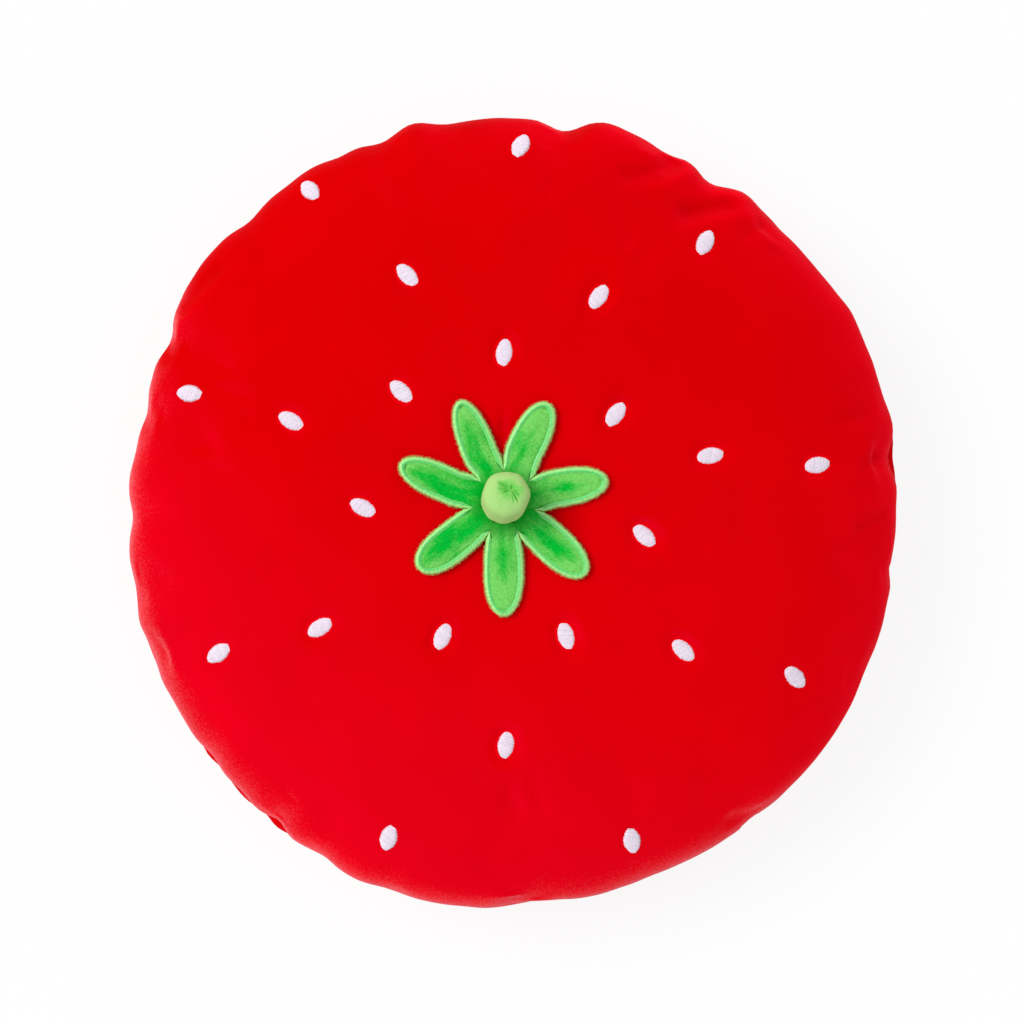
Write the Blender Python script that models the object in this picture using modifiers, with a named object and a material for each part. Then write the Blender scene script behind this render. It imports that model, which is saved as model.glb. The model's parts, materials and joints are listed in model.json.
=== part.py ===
"""Round plush cushion got up as a strawberry, lying on its back.

A front and a back panel of red velvet are sewn together at the rim and filled with fibre. Embroidered
seeds dot the front, and a seven-lobed calyx and a stuffed stem are sewn on at its middle. Metres, +Z up.
The cushion rests on z = 0 with its front up, and its front reads upright with +Y as its top.
"""

import math

import bmesh
import bpy
from mathutils import Euler, Quaternion, Vector
from mathutils.bvhtree import BVHTree

# Cushion body
CUSHION_WIDTH = 0.3850
CUSHION_LENGTH = 0.3970
SEAM_HEIGHT = 0.0500
CROWN_RISE = 0.0620
CROWN_POWER = 2.2
BULGE_HEIGHT = 0.0140
SEAM_DRAW_IN = 0.0070
SEAM_ALLOWANCE = 0.0100
REST_RADIUS = 0.1050
DIMPLE_DEPTH = 0.0030
DIMPLE_RADIUS = 0.0430
VELVET_THICKNESS = 0.0022
THREAD_DIAMETER = 0.0006
CLEARANCE = 0.0003
FILLING_CLEARANCE = 0.0006

# Gathers that draw the rim in: heading in degrees, depth
RIM_GATHERS = (
    (5, 0.0010),
    (46, 0.0014),
    (59, 0.0040),
    (67, 0.0026),
    (82, 0.0058),
    (102, 0.0022),
    (111, 0.0010),
    (129, 0.0014),
    (153, 0.0044),
    (165, 0.0034),
    (180, 0.0018),
    (191, 0.0010),
    (222, 0.0016),
    (231, 0.0016),
    (241, 0.0016),
    (252, 0.0014),
    (272, 0.0024),
    (308, 0.0008),
    (336, 0.0008),
    (352, 0.0016),
)
GATHER_HALF_WIDTH = 0.0120
GATHER_FADE_POWER = 9

# Uneven filling that swells the rim, or leaves it slack: heading in degrees, amount
RIM_SWELLS = (
    (25, 0.0026),
    (76, 0.0022),
    (92, -0.0014),
    (120, 0.0026),
    (142, 0.0034),
    (174, -0.0008),
    (247, 0.0020),
    (290, -0.0022),
    (325, 0.0018),
)
SWELL_HALF_WIDTH = 0.0400

# Gap left for the filling, sewn up by hand: heading of its middle and its length along the seam
CLOSING_HEADING = 270
CLOSING_LENGTH = 0.1300
SEAM_INSET = 0.0040

# Embroidered seeds in three rings: share of the way from the calyx to the rim, heading and twist in degrees
SEEDS = (
    (0.357, 38.7, 15),
    (0.372, 90.3, -7),
    (0.383, 132.9, 4),
    (0.362, 181.8, -29),
    (0.366, 245.0, -2),
    (0.363, 294.7, -9),
    (0.364, 346.8, -29),
    (0.534, 13.5, -3),
    (0.566, 66.1, -11),
    (0.626, 113.4, 20),
    (0.589, 158.6, -9),
    (0.564, 213.3, -6),
    (0.593, 269.8, -9),
    (0.576, 320.6, -3),
    (0.797, 8.0, 3),
    (0.833, 53.7, 9),
    (0.913, 88.4, -20),
    (0.949, 122.1, 8),
    (0.875, 160.1, 11),
    (0.830, 206.4, 3),
    (0.875, 249.7, 0),
    (0.886, 290.2, -8),
    (0.843, 329.5, -12),
)
SEED_LENGTH = 0.0138
SEED_WIDTH = 0.0084
SEED_RISE = 0.0012
SEED_TAPER = 0.30

# Calyx, sewn a little above and left of the middle: heading in degrees and reach of each lobe
CALYX_X = -0.0040
CALYX_Y = 0.0050
LOBES = (
    (13, 0.0522),
    (67, 0.0532),
    (115, 0.0542),
    (162, 0.0544),
    (218, 0.0534),
    (270, 0.0562),
    (319, 0.0540),
)
HUB_REACH = 0.0200
LOBE_WIDTH = 0.0194
LOBE_WIDEST = 0.0090
LOBE_TIP_POWER = 2.4
LOBE_ROOT_GAP = 0.0008
LOBE_HINGE_GAP = 0.0003
LOBE_CUP = 0.0010
LOBE_LIFT = 0.0015
LOBE_PLUSH_THICKNESS = 0.0022
LOBE_BACKING_THICKNESS = 0.0014
LAYER_CLEARANCE = 0.0005
BORDER_DIAMETER = 0.0032
BORDER_CLEARANCE = 0.0010
SEAT_STITCH_RADIUS = 0.0130

# Stuffed stem, leaning to the upper right
STEM_DIAMETER = 0.0225
STEM_TUBE_LENGTH = 0.0130
STEM_END_RISE = 0.0070
STEM_END_DIMPLE = 0.0030
STEM_END_ROUNDING = 0.8
STEM_PUCKER_RADIUS = 0.0040
STEM_PUCKER_DEPTH = 0.0009
STEM_WALL = 0.0018
STEM_MOUTH_RADIUS = 0.0016
STEM_LEAN = 16
STEM_LEAN_HEADING = 70
TACK_RADIUS = 0.0020
GATHER_RING_RADIUS = 0.0030

# Mesh resolution: steps round or along a piece, and the shares or degrees that profiles pass through
RIM_STEPS = 60
CROWN_SHARES = (0.0, 0.13, 0.30, 0.55, 0.76, 0.89, 0.965, 1.0)
BACK_ANGLES = (0, 25, 50, 70, 90)
SEED_SEGMENTS = 10
SEED_RINGS = 4
SEAT_SAMPLES = 8
SEAT_STITCH_STEPS = 24
LOBE_COLUMNS = 7
LOBE_ROWS = 4
LOBE_SAMPLES = 20
BORDER_STEPS = 9
STEM_STEPS = 20
STEM_END_ANGLES = (60, 40, 20)
STEM_FOOT_ANGLES = (0, 25, 50, 70)
GATHER_RING_STEPS = 12
TACK_STEPS = 12
SHARE_STEP = 0.005
MERGE_DISTANCE = 0.00001

# Places worked out from the sizes
RIM_RADIUS = (CUSHION_WIDTH + CUSHION_LENGTH) / 4
SEAM_RADIUS = RIM_RADIUS - SEAM_DRAW_IN
ALLOWANCE_RADIUS = SEAM_RADIUS - SEAM_ALLOWANCE
SEAM_HALF_GAP = THREAD_DIAMETER / 2 + CLEARANCE
CALYX_CENTRE = Vector((CALYX_X, CALYX_Y, 0.0))
PANEL_TOP = SEAM_HEIGHT + CROWN_RISE - DIMPLE_DEPTH
BACKING_BASE = PANEL_TOP + THREAD_DIAMETER + 2 * CLEARANCE
PLUSH_BASE = BACKING_BASE + LOBE_BACKING_THICKNESS + LAYER_CLEARANCE
CALYX_TOP = PLUSH_BASE + LOBE_PLUSH_THICKNESS
BORDER_DROP = (CALYX_TOP - BACKING_BASE) / 2
STEM_RADIUS = STEM_DIAMETER / 2
STEM_PIVOT = CALYX_CENTRE + Vector((0.0, 0.0, CALYX_TOP + THREAD_DIAMETER + 2 * CLEARANCE + STEM_RADIUS))


def srgb(red, green, blue):
    """Return a linear colour for 8-bit sRGB values."""
    shares = (red / 255, green / 255, blue / 255)
    linear = [s / 12.92 if s <= 0.04045 else ((s + 0.055) / 1.055) ** 2.4 for s in shares]
    return (*linear, 1.0)


def clear_scene():
    """Remove the objects that a new file starts with."""
    for obj in list(bpy.data.objects):
        bpy.data.objects.remove(obj, do_unlink=True)


def new_collection(name):
    """Return a new collection linked to the scene."""
    collection = bpy.data.collections.new(name)
    bpy.context.scene.collection.children.link(collection)
    return collection


def new_material(name, colour, roughness):
    """Return a Principled material for cloth or thread."""
    material = bpy.data.materials.new(name)
    material.use_nodes = True
    material.diffuse_color = colour
    shader = material.node_tree.nodes["Principled BSDF"]
    shader.inputs["Base Color"].default_value = colour
    shader.inputs["Roughness"].default_value = roughness
    shader.inputs["Metallic"].default_value = 0.0
    return material


def add_object(name, data, material, collection, parent=None):
    """Link one named sub-part with its material."""
    obj = bpy.data.objects.new(name, data)
    data.materials.append(material)
    collection.objects.link(obj)
    obj.parent = parent
    return obj


def add_empty(name, location, rotation, collection):
    """Link an empty that holds a joint's place and heading."""
    empty = bpy.data.objects.new(name, None)
    empty.location = location
    empty.rotation_euler = rotation
    collection.objects.link(empty)
    return empty


def turned_mesh(name, profile, steps, collection):
    """Turn a profile of (radius, height) points about Z with a Screw modifier and return the mesh."""
    outline = bmesh.new()
    points = [outline.verts.new((radius, 0.0, height)) for radius, height in profile]
    for start, end in zip(points, points[1:]):
        outline.edges.new((start, end))
    profile_mesh = bpy.data.meshes.new(name + "_profile")
    outline.to_mesh(profile_mesh)
    outline.free()
    turner = bpy.data.objects.new(name + "_turner", profile_mesh)
    collection.objects.link(turner)
    screw = turner.modifiers.new("Turn", "SCREW")
    screw.steps = steps
    screw.render_steps = steps
    screw.use_merge_vertices = True
    screw.merge_threshold = MERGE_DISTANCE
    screw.use_normal_calculate = True
    depsgraph = bpy.context.evaluated_depsgraph_get()
    mesh = bpy.data.meshes.new_from_object(turner.evaluated_get(depsgraph))
    mesh.name = name
    bpy.data.objects.remove(turner, do_unlink=True)
    return mesh


def offset_profile(points, distance):
    """Move each profile point to the right of its travel by a distance, ends kept on the axis."""
    moved = []
    for index, (radius, height) in enumerate(points):
        before = points[max(index - 1, 0)]
        after = points[min(index + 1, len(points) - 1)]
        heading = Vector((after[0] - before[0], after[1] - before[1])).normalized()
        if radius == 0.0:
            heading = Vector((round(heading.x), 0.0))
        moved.append((max(radius + heading.y * distance, 0.0), height - heading.x * distance))
    return moved


def rim_radius(heading):
    """Return the ungathered radius of the rim at a heading in radians."""
    across = math.cos(heading) * 2 / CUSHION_WIDTH
    along = math.sin(heading) * 2 / CUSHION_LENGTH
    return 1 / math.hypot(across, along)


def sum_of_bumps(bumps, half_width, heading):
    """Return the sum of smooth bumps along the rim at a heading in radians."""
    total = 0.0
    for degrees, size in bumps:
        turn = math.remainder(heading - math.radians(degrees), math.tau)
        total += size * math.exp(-((turn * RIM_RADIUS / half_width) ** 2))
    return total


def rim_offset(heading):
    """Return how far the rim stands outside its plain outline at a heading in radians."""
    swell = sum_of_bumps(RIM_SWELLS, SWELL_HALF_WIDTH, heading)
    return swell - sum_of_bumps(RIM_GATHERS, GATHER_HALF_WIDTH, heading)


def rim_warp(point):
    """Move a point of the round body to the cushion's gathered outline, with its pole at the calyx."""
    radius = math.hypot(point.x, point.y)
    share = min(radius / RIM_RADIUS, 1.0)
    heading = math.atan2(point.y, point.x)
    stretch = rim_offset(heading) / RIM_RADIUS * share**GATHER_FADE_POWER
    warped = radius * rim_radius(heading) / RIM_RADIUS * (1 + stretch)
    shift = CALYX_CENTRE * (1 - share**2)
    return Vector((warped * math.cos(heading) + shift.x, warped * math.sin(heading) + shift.y, point.z))


def warp_mesh(mesh):
    """Give a turned mesh the cushion's outline."""
    for vertex in mesh.vertices:
        vertex.co = rim_warp(vertex.co)


def front_height(share):
    """Return the height of the front panel's outer face at a share of the rim radius."""
    rise = (CROWN_RISE - BULGE_HEIGHT) * math.sqrt(max(1 - share**CROWN_POWER, 0.0))
    dimple = DIMPLE_DEPTH * math.exp(-((share * RIM_RADIUS / DIMPLE_RADIUS) ** 4))
    return SEAM_HEIGHT + BULGE_HEIGHT + rise - dimple


def bulge_points(side):
    """Return the profile from below the widest line to the seam on the front (1) or the back (-1)."""
    half_way = 1 - math.sqrt(0.5)
    seam = SEAM_HEIGHT + side * SEAM_HALF_GAP
    return [
        (RIM_RADIUS - SEAM_DRAW_IN * half_way, seam + side * (BULGE_HEIGHT - SEAM_HALF_GAP) * half_way),
        (SEAM_RADIUS, seam),
    ]


def front_outer_profile():
    """Return the front panel's outer face from its pole to the seam."""
    crown = [(share * RIM_RADIUS, front_height(share)) for share in CROWN_SHARES]
    return crown + bulge_points(1)


def back_outer_profile():
    """Return the back panel's outer face from the seam to its pole."""
    drop = SEAM_HEIGHT - BULGE_HEIGHT
    side = []
    for degrees in BACK_ANGLES:
        turn = math.radians(degrees)
        side.append((REST_RADIUS + (RIM_RADIUS - REST_RADIUS) * math.cos(turn), drop * (1 - math.sin(turn))))
    return bulge_points(-1)[::-1] + side + [(0.0, 0.0)]


def seam_edge(side, clearance):
    """Return the end of one panel's turned-in allowance, at a clearance over its inner face."""
    height = SEAM_HEIGHT + side * (SEAM_HALF_GAP + VELVET_THICKNESS + clearance)
    return (ALLOWANCE_RADIUS - clearance, height)


def panel_inner_profiles(clearance):
    """Return the inner faces of the front and back panels, moved in by a clearance."""
    front = offset_profile(front_outer_profile(), VELVET_THICKNESS + clearance)
    back = offset_profile(back_outer_profile(), VELVET_THICKNESS + clearance)
    front[-1] = (SEAM_RADIUS - clearance, seam_edge(1, clearance)[1])
    back[0] = (SEAM_RADIUS - clearance, seam_edge(-1, clearance)[1])
    return front, back


def build_front_panel(material, collection):
    """Make the velvet front: a crown, a drawn-in rim and the turned-in seam allowance."""
    inner, _ = panel_inner_profiles(0.0)
    edge = [(ALLOWANCE_RADIUS, SEAM_HEIGHT + SEAM_HALF_GAP), seam_edge(1, 0.0)]
    mesh = turned_mesh("front_panel", front_outer_profile() + edge + inner[::-1], RIM_STEPS, collection)
    warp_mesh(mesh)
    return add_object("front_panel", mesh, material, collection)


def build_back_panel(material, collection):
    """Make the velvet back, which is flat where the cushion rests."""
    _, inner = panel_inner_profiles(0.0)
    edge = [seam_edge(-1, 0.0), (ALLOWANCE_RADIUS, SEAM_HEIGHT - SEAM_HALF_GAP)]
    mesh = turned_mesh("back_panel", inner[::-1] + edge + back_outer_profile(), RIM_STEPS, collection)
    warp_mesh(mesh)
    return add_object("back_panel", mesh, material, collection)


def build_filling(material, collection):
    """Make the fibre filling, which fills both panels and stops short of the seam allowances."""
    front, back = panel_inner_profiles(FILLING_CLEARANCE)
    groove = [seam_edge(1, FILLING_CLEARANCE), seam_edge(-1, FILLING_CLEARANCE)]
    mesh = turned_mesh("fibre_filling", front + groove + back, RIM_STEPS, collection)
    warp_mesh(mesh)
    return add_object("fibre_filling", mesh, material, collection)


def thread_curve(name, points, diameter, resolution, cyclic=False):
    """Return a POLY curve with a round bevel and filled caps."""
    curve = bpy.data.curves.new(name, "CURVE")
    curve.dimensions = "3D"
    curve.bevel_depth = diameter / 2
    curve.bevel_resolution = resolution
    curve.use_fill_caps = not cyclic
    spline = curve.splines.new("POLY")
    spline.points.add(len(points) - 1)
    for spline_point, point in zip(spline.points, points):
        spline_point.co = (*point, 1.0)
    spline.use_cyclic_u = cyclic
    return curve


def seam_points(start, end):
    """Return points along the seam line between two headings in radians."""
    radius = SEAM_RADIUS - SEAM_INSET
    count = max(2, round(RIM_STEPS * (end - start) / math.tau))
    points = []
    for index in range(count + 1):
        turn = start + (end - start) * index / count
        points.append(rim_warp(Vector((radius * math.cos(turn), radius * math.sin(turn), SEAM_HEIGHT))))
    return points


def build_seam_threads(material, collection):
    """Make the machine stitching round the rim and the hand stitching that closes it."""
    half_closing = CLOSING_LENGTH / (SEAM_RADIUS - SEAM_INSET) / 2
    half_break = half_closing + THREAD_DIAMETER * 2 / SEAM_RADIUS
    middle = math.radians(CLOSING_HEADING)
    machine = seam_points(middle + half_break, middle + math.tau - half_break)
    by_hand = seam_points(middle - half_closing, middle + half_closing)
    for name, points in (("rim_seam_thread", machine), ("closing_stitch", by_hand)):
        add_object(name, thread_curve(name, points, THREAD_DIAMETER, 0), material, collection)


def front_frame(share, heading):
    """Return a point on the front panel with its outward, crosswise and normal directions."""

    def place(at_share, at_heading):
        radius = at_share * RIM_RADIUS
        point = Vector((radius * math.cos(at_heading), radius * math.sin(at_heading), front_height(at_share)))
        return rim_warp(point)

    outward = (place(share + SHARE_STEP, heading) - place(share - SHARE_STEP, heading)).normalized()
    crosswise = place(share, heading + SHARE_STEP) - place(share, heading - SHARE_STEP)
    normal = outward.cross(crosswise).normalized()
    return place(share, heading), outward, normal.cross(outward), normal


def seat_height(surface, centre, along, across, normal):
    """Return how high the panel reaches, along the normal, under a seed placed at a centre."""
    highest = -SEED_LENGTH
    for row in range(SEAT_SAMPLES + 1):
        for column in range(SEAT_SAMPLES + 1):
            length = (row / SEAT_SAMPLES - 0.5) * SEED_LENGTH
            width = (column / SEAT_SAMPLES - 0.5) * SEED_WIDTH
            plan = centre + along * length + across * width
            above = Vector((plan.x, plan.y, SEAM_HEIGHT + CROWN_RISE * 2))
            hit, _, _, _ = surface.ray_cast(above, Vector((0.0, 0.0, -1.0)))
            highest = max(highest, (hit - centre).dot(normal))
    return highest


def build_seeds(front_panel, material, collection):
    """Make the satin-stitched seeds, each a low almond pad that lies on the front panel."""
    surface = BVHTree.FromObject(front_panel, bpy.context.evaluated_depsgraph_get())
    for number, (share, heading, twist) in enumerate(SEEDS, 1):
        centre, outward, crosswise, normal = front_frame(share, math.radians(heading))
        turn = math.radians(twist)
        along = outward * math.cos(turn) + crosswise * math.sin(turn)
        across = normal.cross(along)
        seat = seat_height(surface, centre, along, across, normal) + CLEARANCE
        pad = bmesh.new()
        bmesh.ops.create_uvsphere(pad, u_segments=SEED_SEGMENTS, v_segments=SEED_RINGS, radius=1.0)
        for vertex in pad.verts:
            length = vertex.co.x * SEED_LENGTH / 2
            width = vertex.co.y * SEED_WIDTH / 2 * (1 - SEED_TAPER * vertex.co.x**2)
            height = seat + max(vertex.co.z, 0.0) * SEED_RISE
            vertex.co = centre + along * length + across * width + normal * height
        mesh = bpy.data.meshes.new("seed")
        pad.to_mesh(mesh)
        pad.free()
        add_object(f"seed_{number:02d}", mesh, material, collection)


def hub_corners():
    """Return the corners of the calyx's middle, one flat side for each lobe."""
    headings = [math.radians(heading) for heading, _ in LOBES]
    corners = []
    for heading, following in zip(headings, headings[1:] + [headings[0] + math.tau]):
        half_turn = (following - heading) / 2
        reach = HUB_REACH / math.cos(half_turn)
        middle = heading + half_turn
        corners.append((reach * math.cos(middle), reach * math.sin(middle)))
    return corners


def build_hub_layer(name, base, thickness, material, collection):
    """Make one layer of the calyx's middle from its outline."""
    curve = bpy.data.curves.new(name, "CURVE")
    curve.dimensions = "2D"
    curve.fill_mode = "BOTH"
    curve.extrude = thickness / 2
    spline = curve.splines.new("POLY")
    corners = hub_corners()
    spline.points.add(len(corners) - 1)
    for spline_point, corner in zip(spline.points, corners):
        spline_point.co = (*corner, 0.0, 1.0)
    spline.use_cyclic_u = True
    layer = add_object(name, curve, material, collection)
    layer.location = CALYX_CENTRE + Vector((0.0, 0.0, base + thickness / 2))


def build_seat_stitch(material, collection):
    """Make the ring of thread that sews the calyx down."""
    height = PANEL_TOP + CLEARANCE + THREAD_DIAMETER / 2
    points = []
    for index in range(SEAT_STITCH_STEPS):
        turn = math.tau * index / SEAT_STITCH_STEPS
        offset = Vector((math.cos(turn), math.sin(turn), 0.0)) * SEAT_STITCH_RADIUS
        points.append(CALYX_CENTRE + offset + Vector((0.0, 0.0, height)))
    curve = thread_curve("calyx_seat_stitch", points, THREAD_DIAMETER, 0, cyclic=True)
    add_object("calyx_seat_stitch", curve, material, collection)


def lobe_half_root():
    """Return half the width of a lobe's root, which the closest pair of lobes leaves free."""
    headings = [heading for heading, _ in LOBES]
    gaps = [following - heading for heading, following in zip(headings, headings[1:] + [headings[0] + 360])]
    return HUB_REACH * math.tan(math.radians(min(gaps) / 2)) - LOBE_ROOT_GAP / 2


def lobe_half_width(along, length, inset):
    """Return half the width of a lobe at a distance from its root, drawn in by an inset."""
    half_root = lobe_half_root() - inset
    half_widest = LOBE_WIDTH / 2 - inset
    if along <= LOBE_WIDEST:
        return half_root + (half_widest - half_root) * math.sin(math.pi / 2 * along / LOBE_WIDEST)
    tip = (along - LOBE_WIDEST) / (length - inset - LOBE_WIDEST)
    return half_widest * math.sqrt(max(1 - tip**LOBE_TIP_POWER, 0.0))


def lobe_slope(length):
    """Return the rise per metre that holds a lobe clear of the front panel under it."""
    slope = LOBE_LIFT / length
    for index in range(1, LOBE_SAMPLES + 1):
        along = length * index / LOBE_SAMPLES
        panel = front_height((HUB_REACH + along) / RIM_RADIUS) + CLEARANCE * 2
        slope = max(slope, (panel - BACKING_BASE) / along)
    return slope


def lobe_height(along, side, length):
    """Return the height of a lobe's top face over its hinge, for a side share of -1 to 1."""
    cup = LOBE_CUP * side * side * (1 - along / length)
    return lobe_slope(length) * along + cup


def build_lobe_layer(name, length, top, thickness, material, hinge):
    """Make one cloth layer of a lobe as a cupped sheet with Solidify."""
    inset = BORDER_DIAMETER + BORDER_CLEARANCE
    sheet = bmesh.new()
    bmesh.ops.create_grid(sheet, x_segments=LOBE_COLUMNS, y_segments=LOBE_ROWS, size=0.5)
    for vertex in sheet.verts:
        share = math.sin((vertex.co.x + 0.5) * math.pi / 2)
        side = vertex.co.y * 2
        along = LOBE_HINGE_GAP + share * (length - inset - LOBE_HINGE_GAP)
        across = side * lobe_half_width(along, length, inset)
        vertex.co = (along, across, top + lobe_height(along, side, length))
    bmesh.ops.remove_doubles(sheet, verts=sheet.verts, dist=MERGE_DISTANCE)
    mesh = bpy.data.meshes.new(name)
    sheet.to_mesh(mesh)
    sheet.free()
    layer = add_object(name, mesh, material, hinge.users_collection[0], hinge)
    solidify = layer.modifiers.new("Thickness", "SOLIDIFY")
    solidify.thickness = thickness
    solidify.offset = -1.0


def build_lobe_border(name, length, material, hinge):
    """Make the satin-stitched bead round a lobe's edge."""
    inset = BORDER_DIAMETER / 2
    root = LOBE_HINGE_GAP + inset
    half = []
    for index in range(BORDER_STEPS + 1):
        share = math.sin(math.pi / 2 * index / BORDER_STEPS)
        along = root + share * (length - inset - root)
        across = lobe_half_width(along, length, inset)
        half.append(Vector((along, across, lobe_height(along, 1.0, length) - BORDER_DROP)))
    other_half = [Vector((point.x, -point.y, point.z)) for point in half[-2::-1]]
    curve = thread_curve(name, half + other_half, BORDER_DIAMETER, 1)
    add_object(name, curve, material, hinge.users_collection[0], hinge)


def build_lobes(materials, collection):
    """Make the seven lobes, each on a hinge where it folds up from the calyx's middle."""
    for number, (heading, reach) in enumerate(LOBES, 1):
        turn = math.radians(heading)
        place = CALYX_CENTRE + Vector((math.cos(turn), math.sin(turn), 0.0)) * HUB_REACH
        place.z = CALYX_TOP
        hinge = add_empty(f"leaf_{number}_hinge", place, Euler((0.0, 0.0, turn)), collection)
        length = reach - HUB_REACH
        name = f"leaf_{number}"
        plush, backing = materials["plush"], materials["backing"]
        backing_top = -LOBE_PLUSH_THICKNESS - LAYER_CLEARANCE
        build_lobe_layer(name + "_plush", length, 0.0, LOBE_PLUSH_THICKNESS, plush, hinge)
        build_lobe_layer(name + "_backing", length, backing_top, LOBE_BACKING_THICKNESS, backing, hinge)
        build_lobe_border(name + "_border", length, materials["border"], hinge)


def stem_outer_profile():
    """Return the stem's outer face from the gathered mouth to its bottom pole, about its pivot."""
    top = STEM_TUBE_LENGTH + STEM_END_RISE
    points = [(STEM_MOUTH_RADIUS, top - STEM_END_DIMPLE), (STEM_PUCKER_RADIUS, top - STEM_PUCKER_DEPTH)]
    for degrees in STEM_END_ANGLES:
        turn = math.radians(degrees)
        rise = STEM_END_RISE * math.sin(turn) ** STEM_END_ROUNDING
        points.append((STEM_RADIUS * math.cos(turn), STEM_TUBE_LENGTH + rise))
    points.append((STEM_RADIUS, STEM_TUBE_LENGTH))
    for degrees in STEM_FOOT_ANGLES:
        turn = math.radians(degrees)
        points.append((STEM_RADIUS * math.cos(turn), -STEM_RADIUS * math.sin(turn)))
    points.append((0.0, -STEM_RADIUS))
    return points


def stem_lean_rotation():
    """Return the rotation that leans the stem towards its heading."""
    heading = math.radians(STEM_LEAN_HEADING)
    axis = Vector((-math.sin(heading), math.cos(heading), 0.0))
    return Quaternion(axis, math.radians(STEM_LEAN)).to_euler()


def build_stem(materials, collection):
    """Make the stuffed stem on a pivot that lets it lean each way over the calyx."""
    pivot = add_empty("stem_pivot", STEM_PIVOT, stem_lean_rotation(), collection)
    outer = stem_outer_profile()
    inner = offset_profile(outer, STEM_WALL)
    inner[0] = (STEM_MOUTH_RADIUS, outer[0][1] - STEM_WALL)
    cover = turned_mesh("stem_cover", inner[::-1] + outer, STEM_STEPS, collection)
    add_object("stem_cover", cover, materials["stem"], collection, pivot)
    core = offset_profile(outer, STEM_WALL + CLEARANCE)
    core_top = outer[0][1] - STEM_WALL - CLEARANCE
    core[0] = (STEM_MOUTH_RADIUS, core_top)
    core.insert(0, (0.0, core_top))
    filling = turned_mesh("stem_filling", core, STEM_STEPS, collection)
    add_object("stem_filling", filling, materials["filling"], collection, pivot)
    build_stem_gather(outer, materials["stem"], collection, pivot)
    build_stem_tack(materials["stem"], collection)


def build_stem_gather(outer, material, collection, pivot):
    """Make the thread ring that draws the stem's end together, lying in the dimple of that end."""
    mouth, shoulder = outer[0], outer[1]
    share = (GATHER_RING_RADIUS - mouth[0]) / (shoulder[0] - mouth[0])
    height = mouth[1] + (shoulder[1] - mouth[1]) * share + THREAD_DIAMETER + CLEARANCE
    points = []
    for index in range(GATHER_RING_STEPS):
        turn = math.tau * index / GATHER_RING_STEPS
        points.append((GATHER_RING_RADIUS * math.cos(turn), GATHER_RING_RADIUS * math.sin(turn), height))
    curve = thread_curve("stem_gather_thread", points, THREAD_DIAMETER, 0, cyclic=True)
    add_object("stem_gather_thread", curve, material, collection, pivot)


def build_stem_tack(material, collection):
    """Make the tacking stitches between the stem's bottom and the calyx."""
    tack = bmesh.new()
    bmesh.ops.create_cone(
        tack,
        cap_ends=True,
        segments=TACK_STEPS,
        radius1=TACK_RADIUS,
        radius2=TACK_RADIUS,
        depth=THREAD_DIAMETER,
    )
    mesh = bpy.data.meshes.new("stem_tack_stitch")
    tack.to_mesh(mesh)
    tack.free()
    stitch = add_object("stem_tack_stitch", mesh, material, collection)
    stitch.location = CALYX_CENTRE + Vector((0.0, 0.0, CALYX_TOP + CLEARANCE + THREAD_DIAMETER / 2))


def new_materials():
    """Return the cloth and thread materials by name."""
    return {
        "velvet": new_material("red_velvet", srgb(226, 4, 14), 0.85),
        "red_thread": new_material("red_thread", srgb(196, 6, 16), 0.6),
        "filling": new_material("polyester_fibre", srgb(240, 240, 236), 0.95),
        "seed": new_material("seed_thread", srgb(243, 228, 240), 0.5),
        "plush": new_material("leaf_plush", srgb(84, 201, 82), 0.85),
        "backing": new_material("leaf_backing", srgb(58, 170, 66), 0.85),
        "border": new_material("leaf_border_thread", srgb(120, 228, 122), 0.5),
        "stem": new_material("stem_velvet", srgb(164, 215, 124), 0.85),
    }


def main():
    """Build the cushion."""
    clear_scene()
    materials = new_materials()
    collection = new_collection("strawberry_cushion")
    front_panel = build_front_panel(materials["velvet"], collection)
    build_back_panel(materials["velvet"], collection)
    build_filling(materials["filling"], collection)
    build_seam_threads(materials["red_thread"], collection)
    build_seeds(front_panel, materials["seed"], collection)
    backing, plush = materials["backing"], materials["plush"]
    build_hub_layer("calyx_hub_backing", BACKING_BASE, LOBE_BACKING_THICKNESS, backing, collection)
    build_hub_layer("calyx_hub_plush", PLUSH_BASE, LOBE_PLUSH_THICKNESS, plush, collection)
    build_seat_stitch(backing, collection)
    build_lobes(materials, collection)
    build_stem(materials, collection)


main()
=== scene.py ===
"""Looks of a round plush strawberry cushion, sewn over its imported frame.

The cushion lies on its back with its calyx up. Each operator sews one piece, or one group of like pieces,
in metres and in the frame's own place, and hides the plain solids that it stands for.
"""

import json
import math
import random

import bmesh
import bpy
import numpy as np
from bpy.props import FloatProperty, FloatVectorProperty, IntProperty, PointerProperty
from bpy.types import Operator, Panel, PropertyGroup
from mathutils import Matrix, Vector, noise


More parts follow.
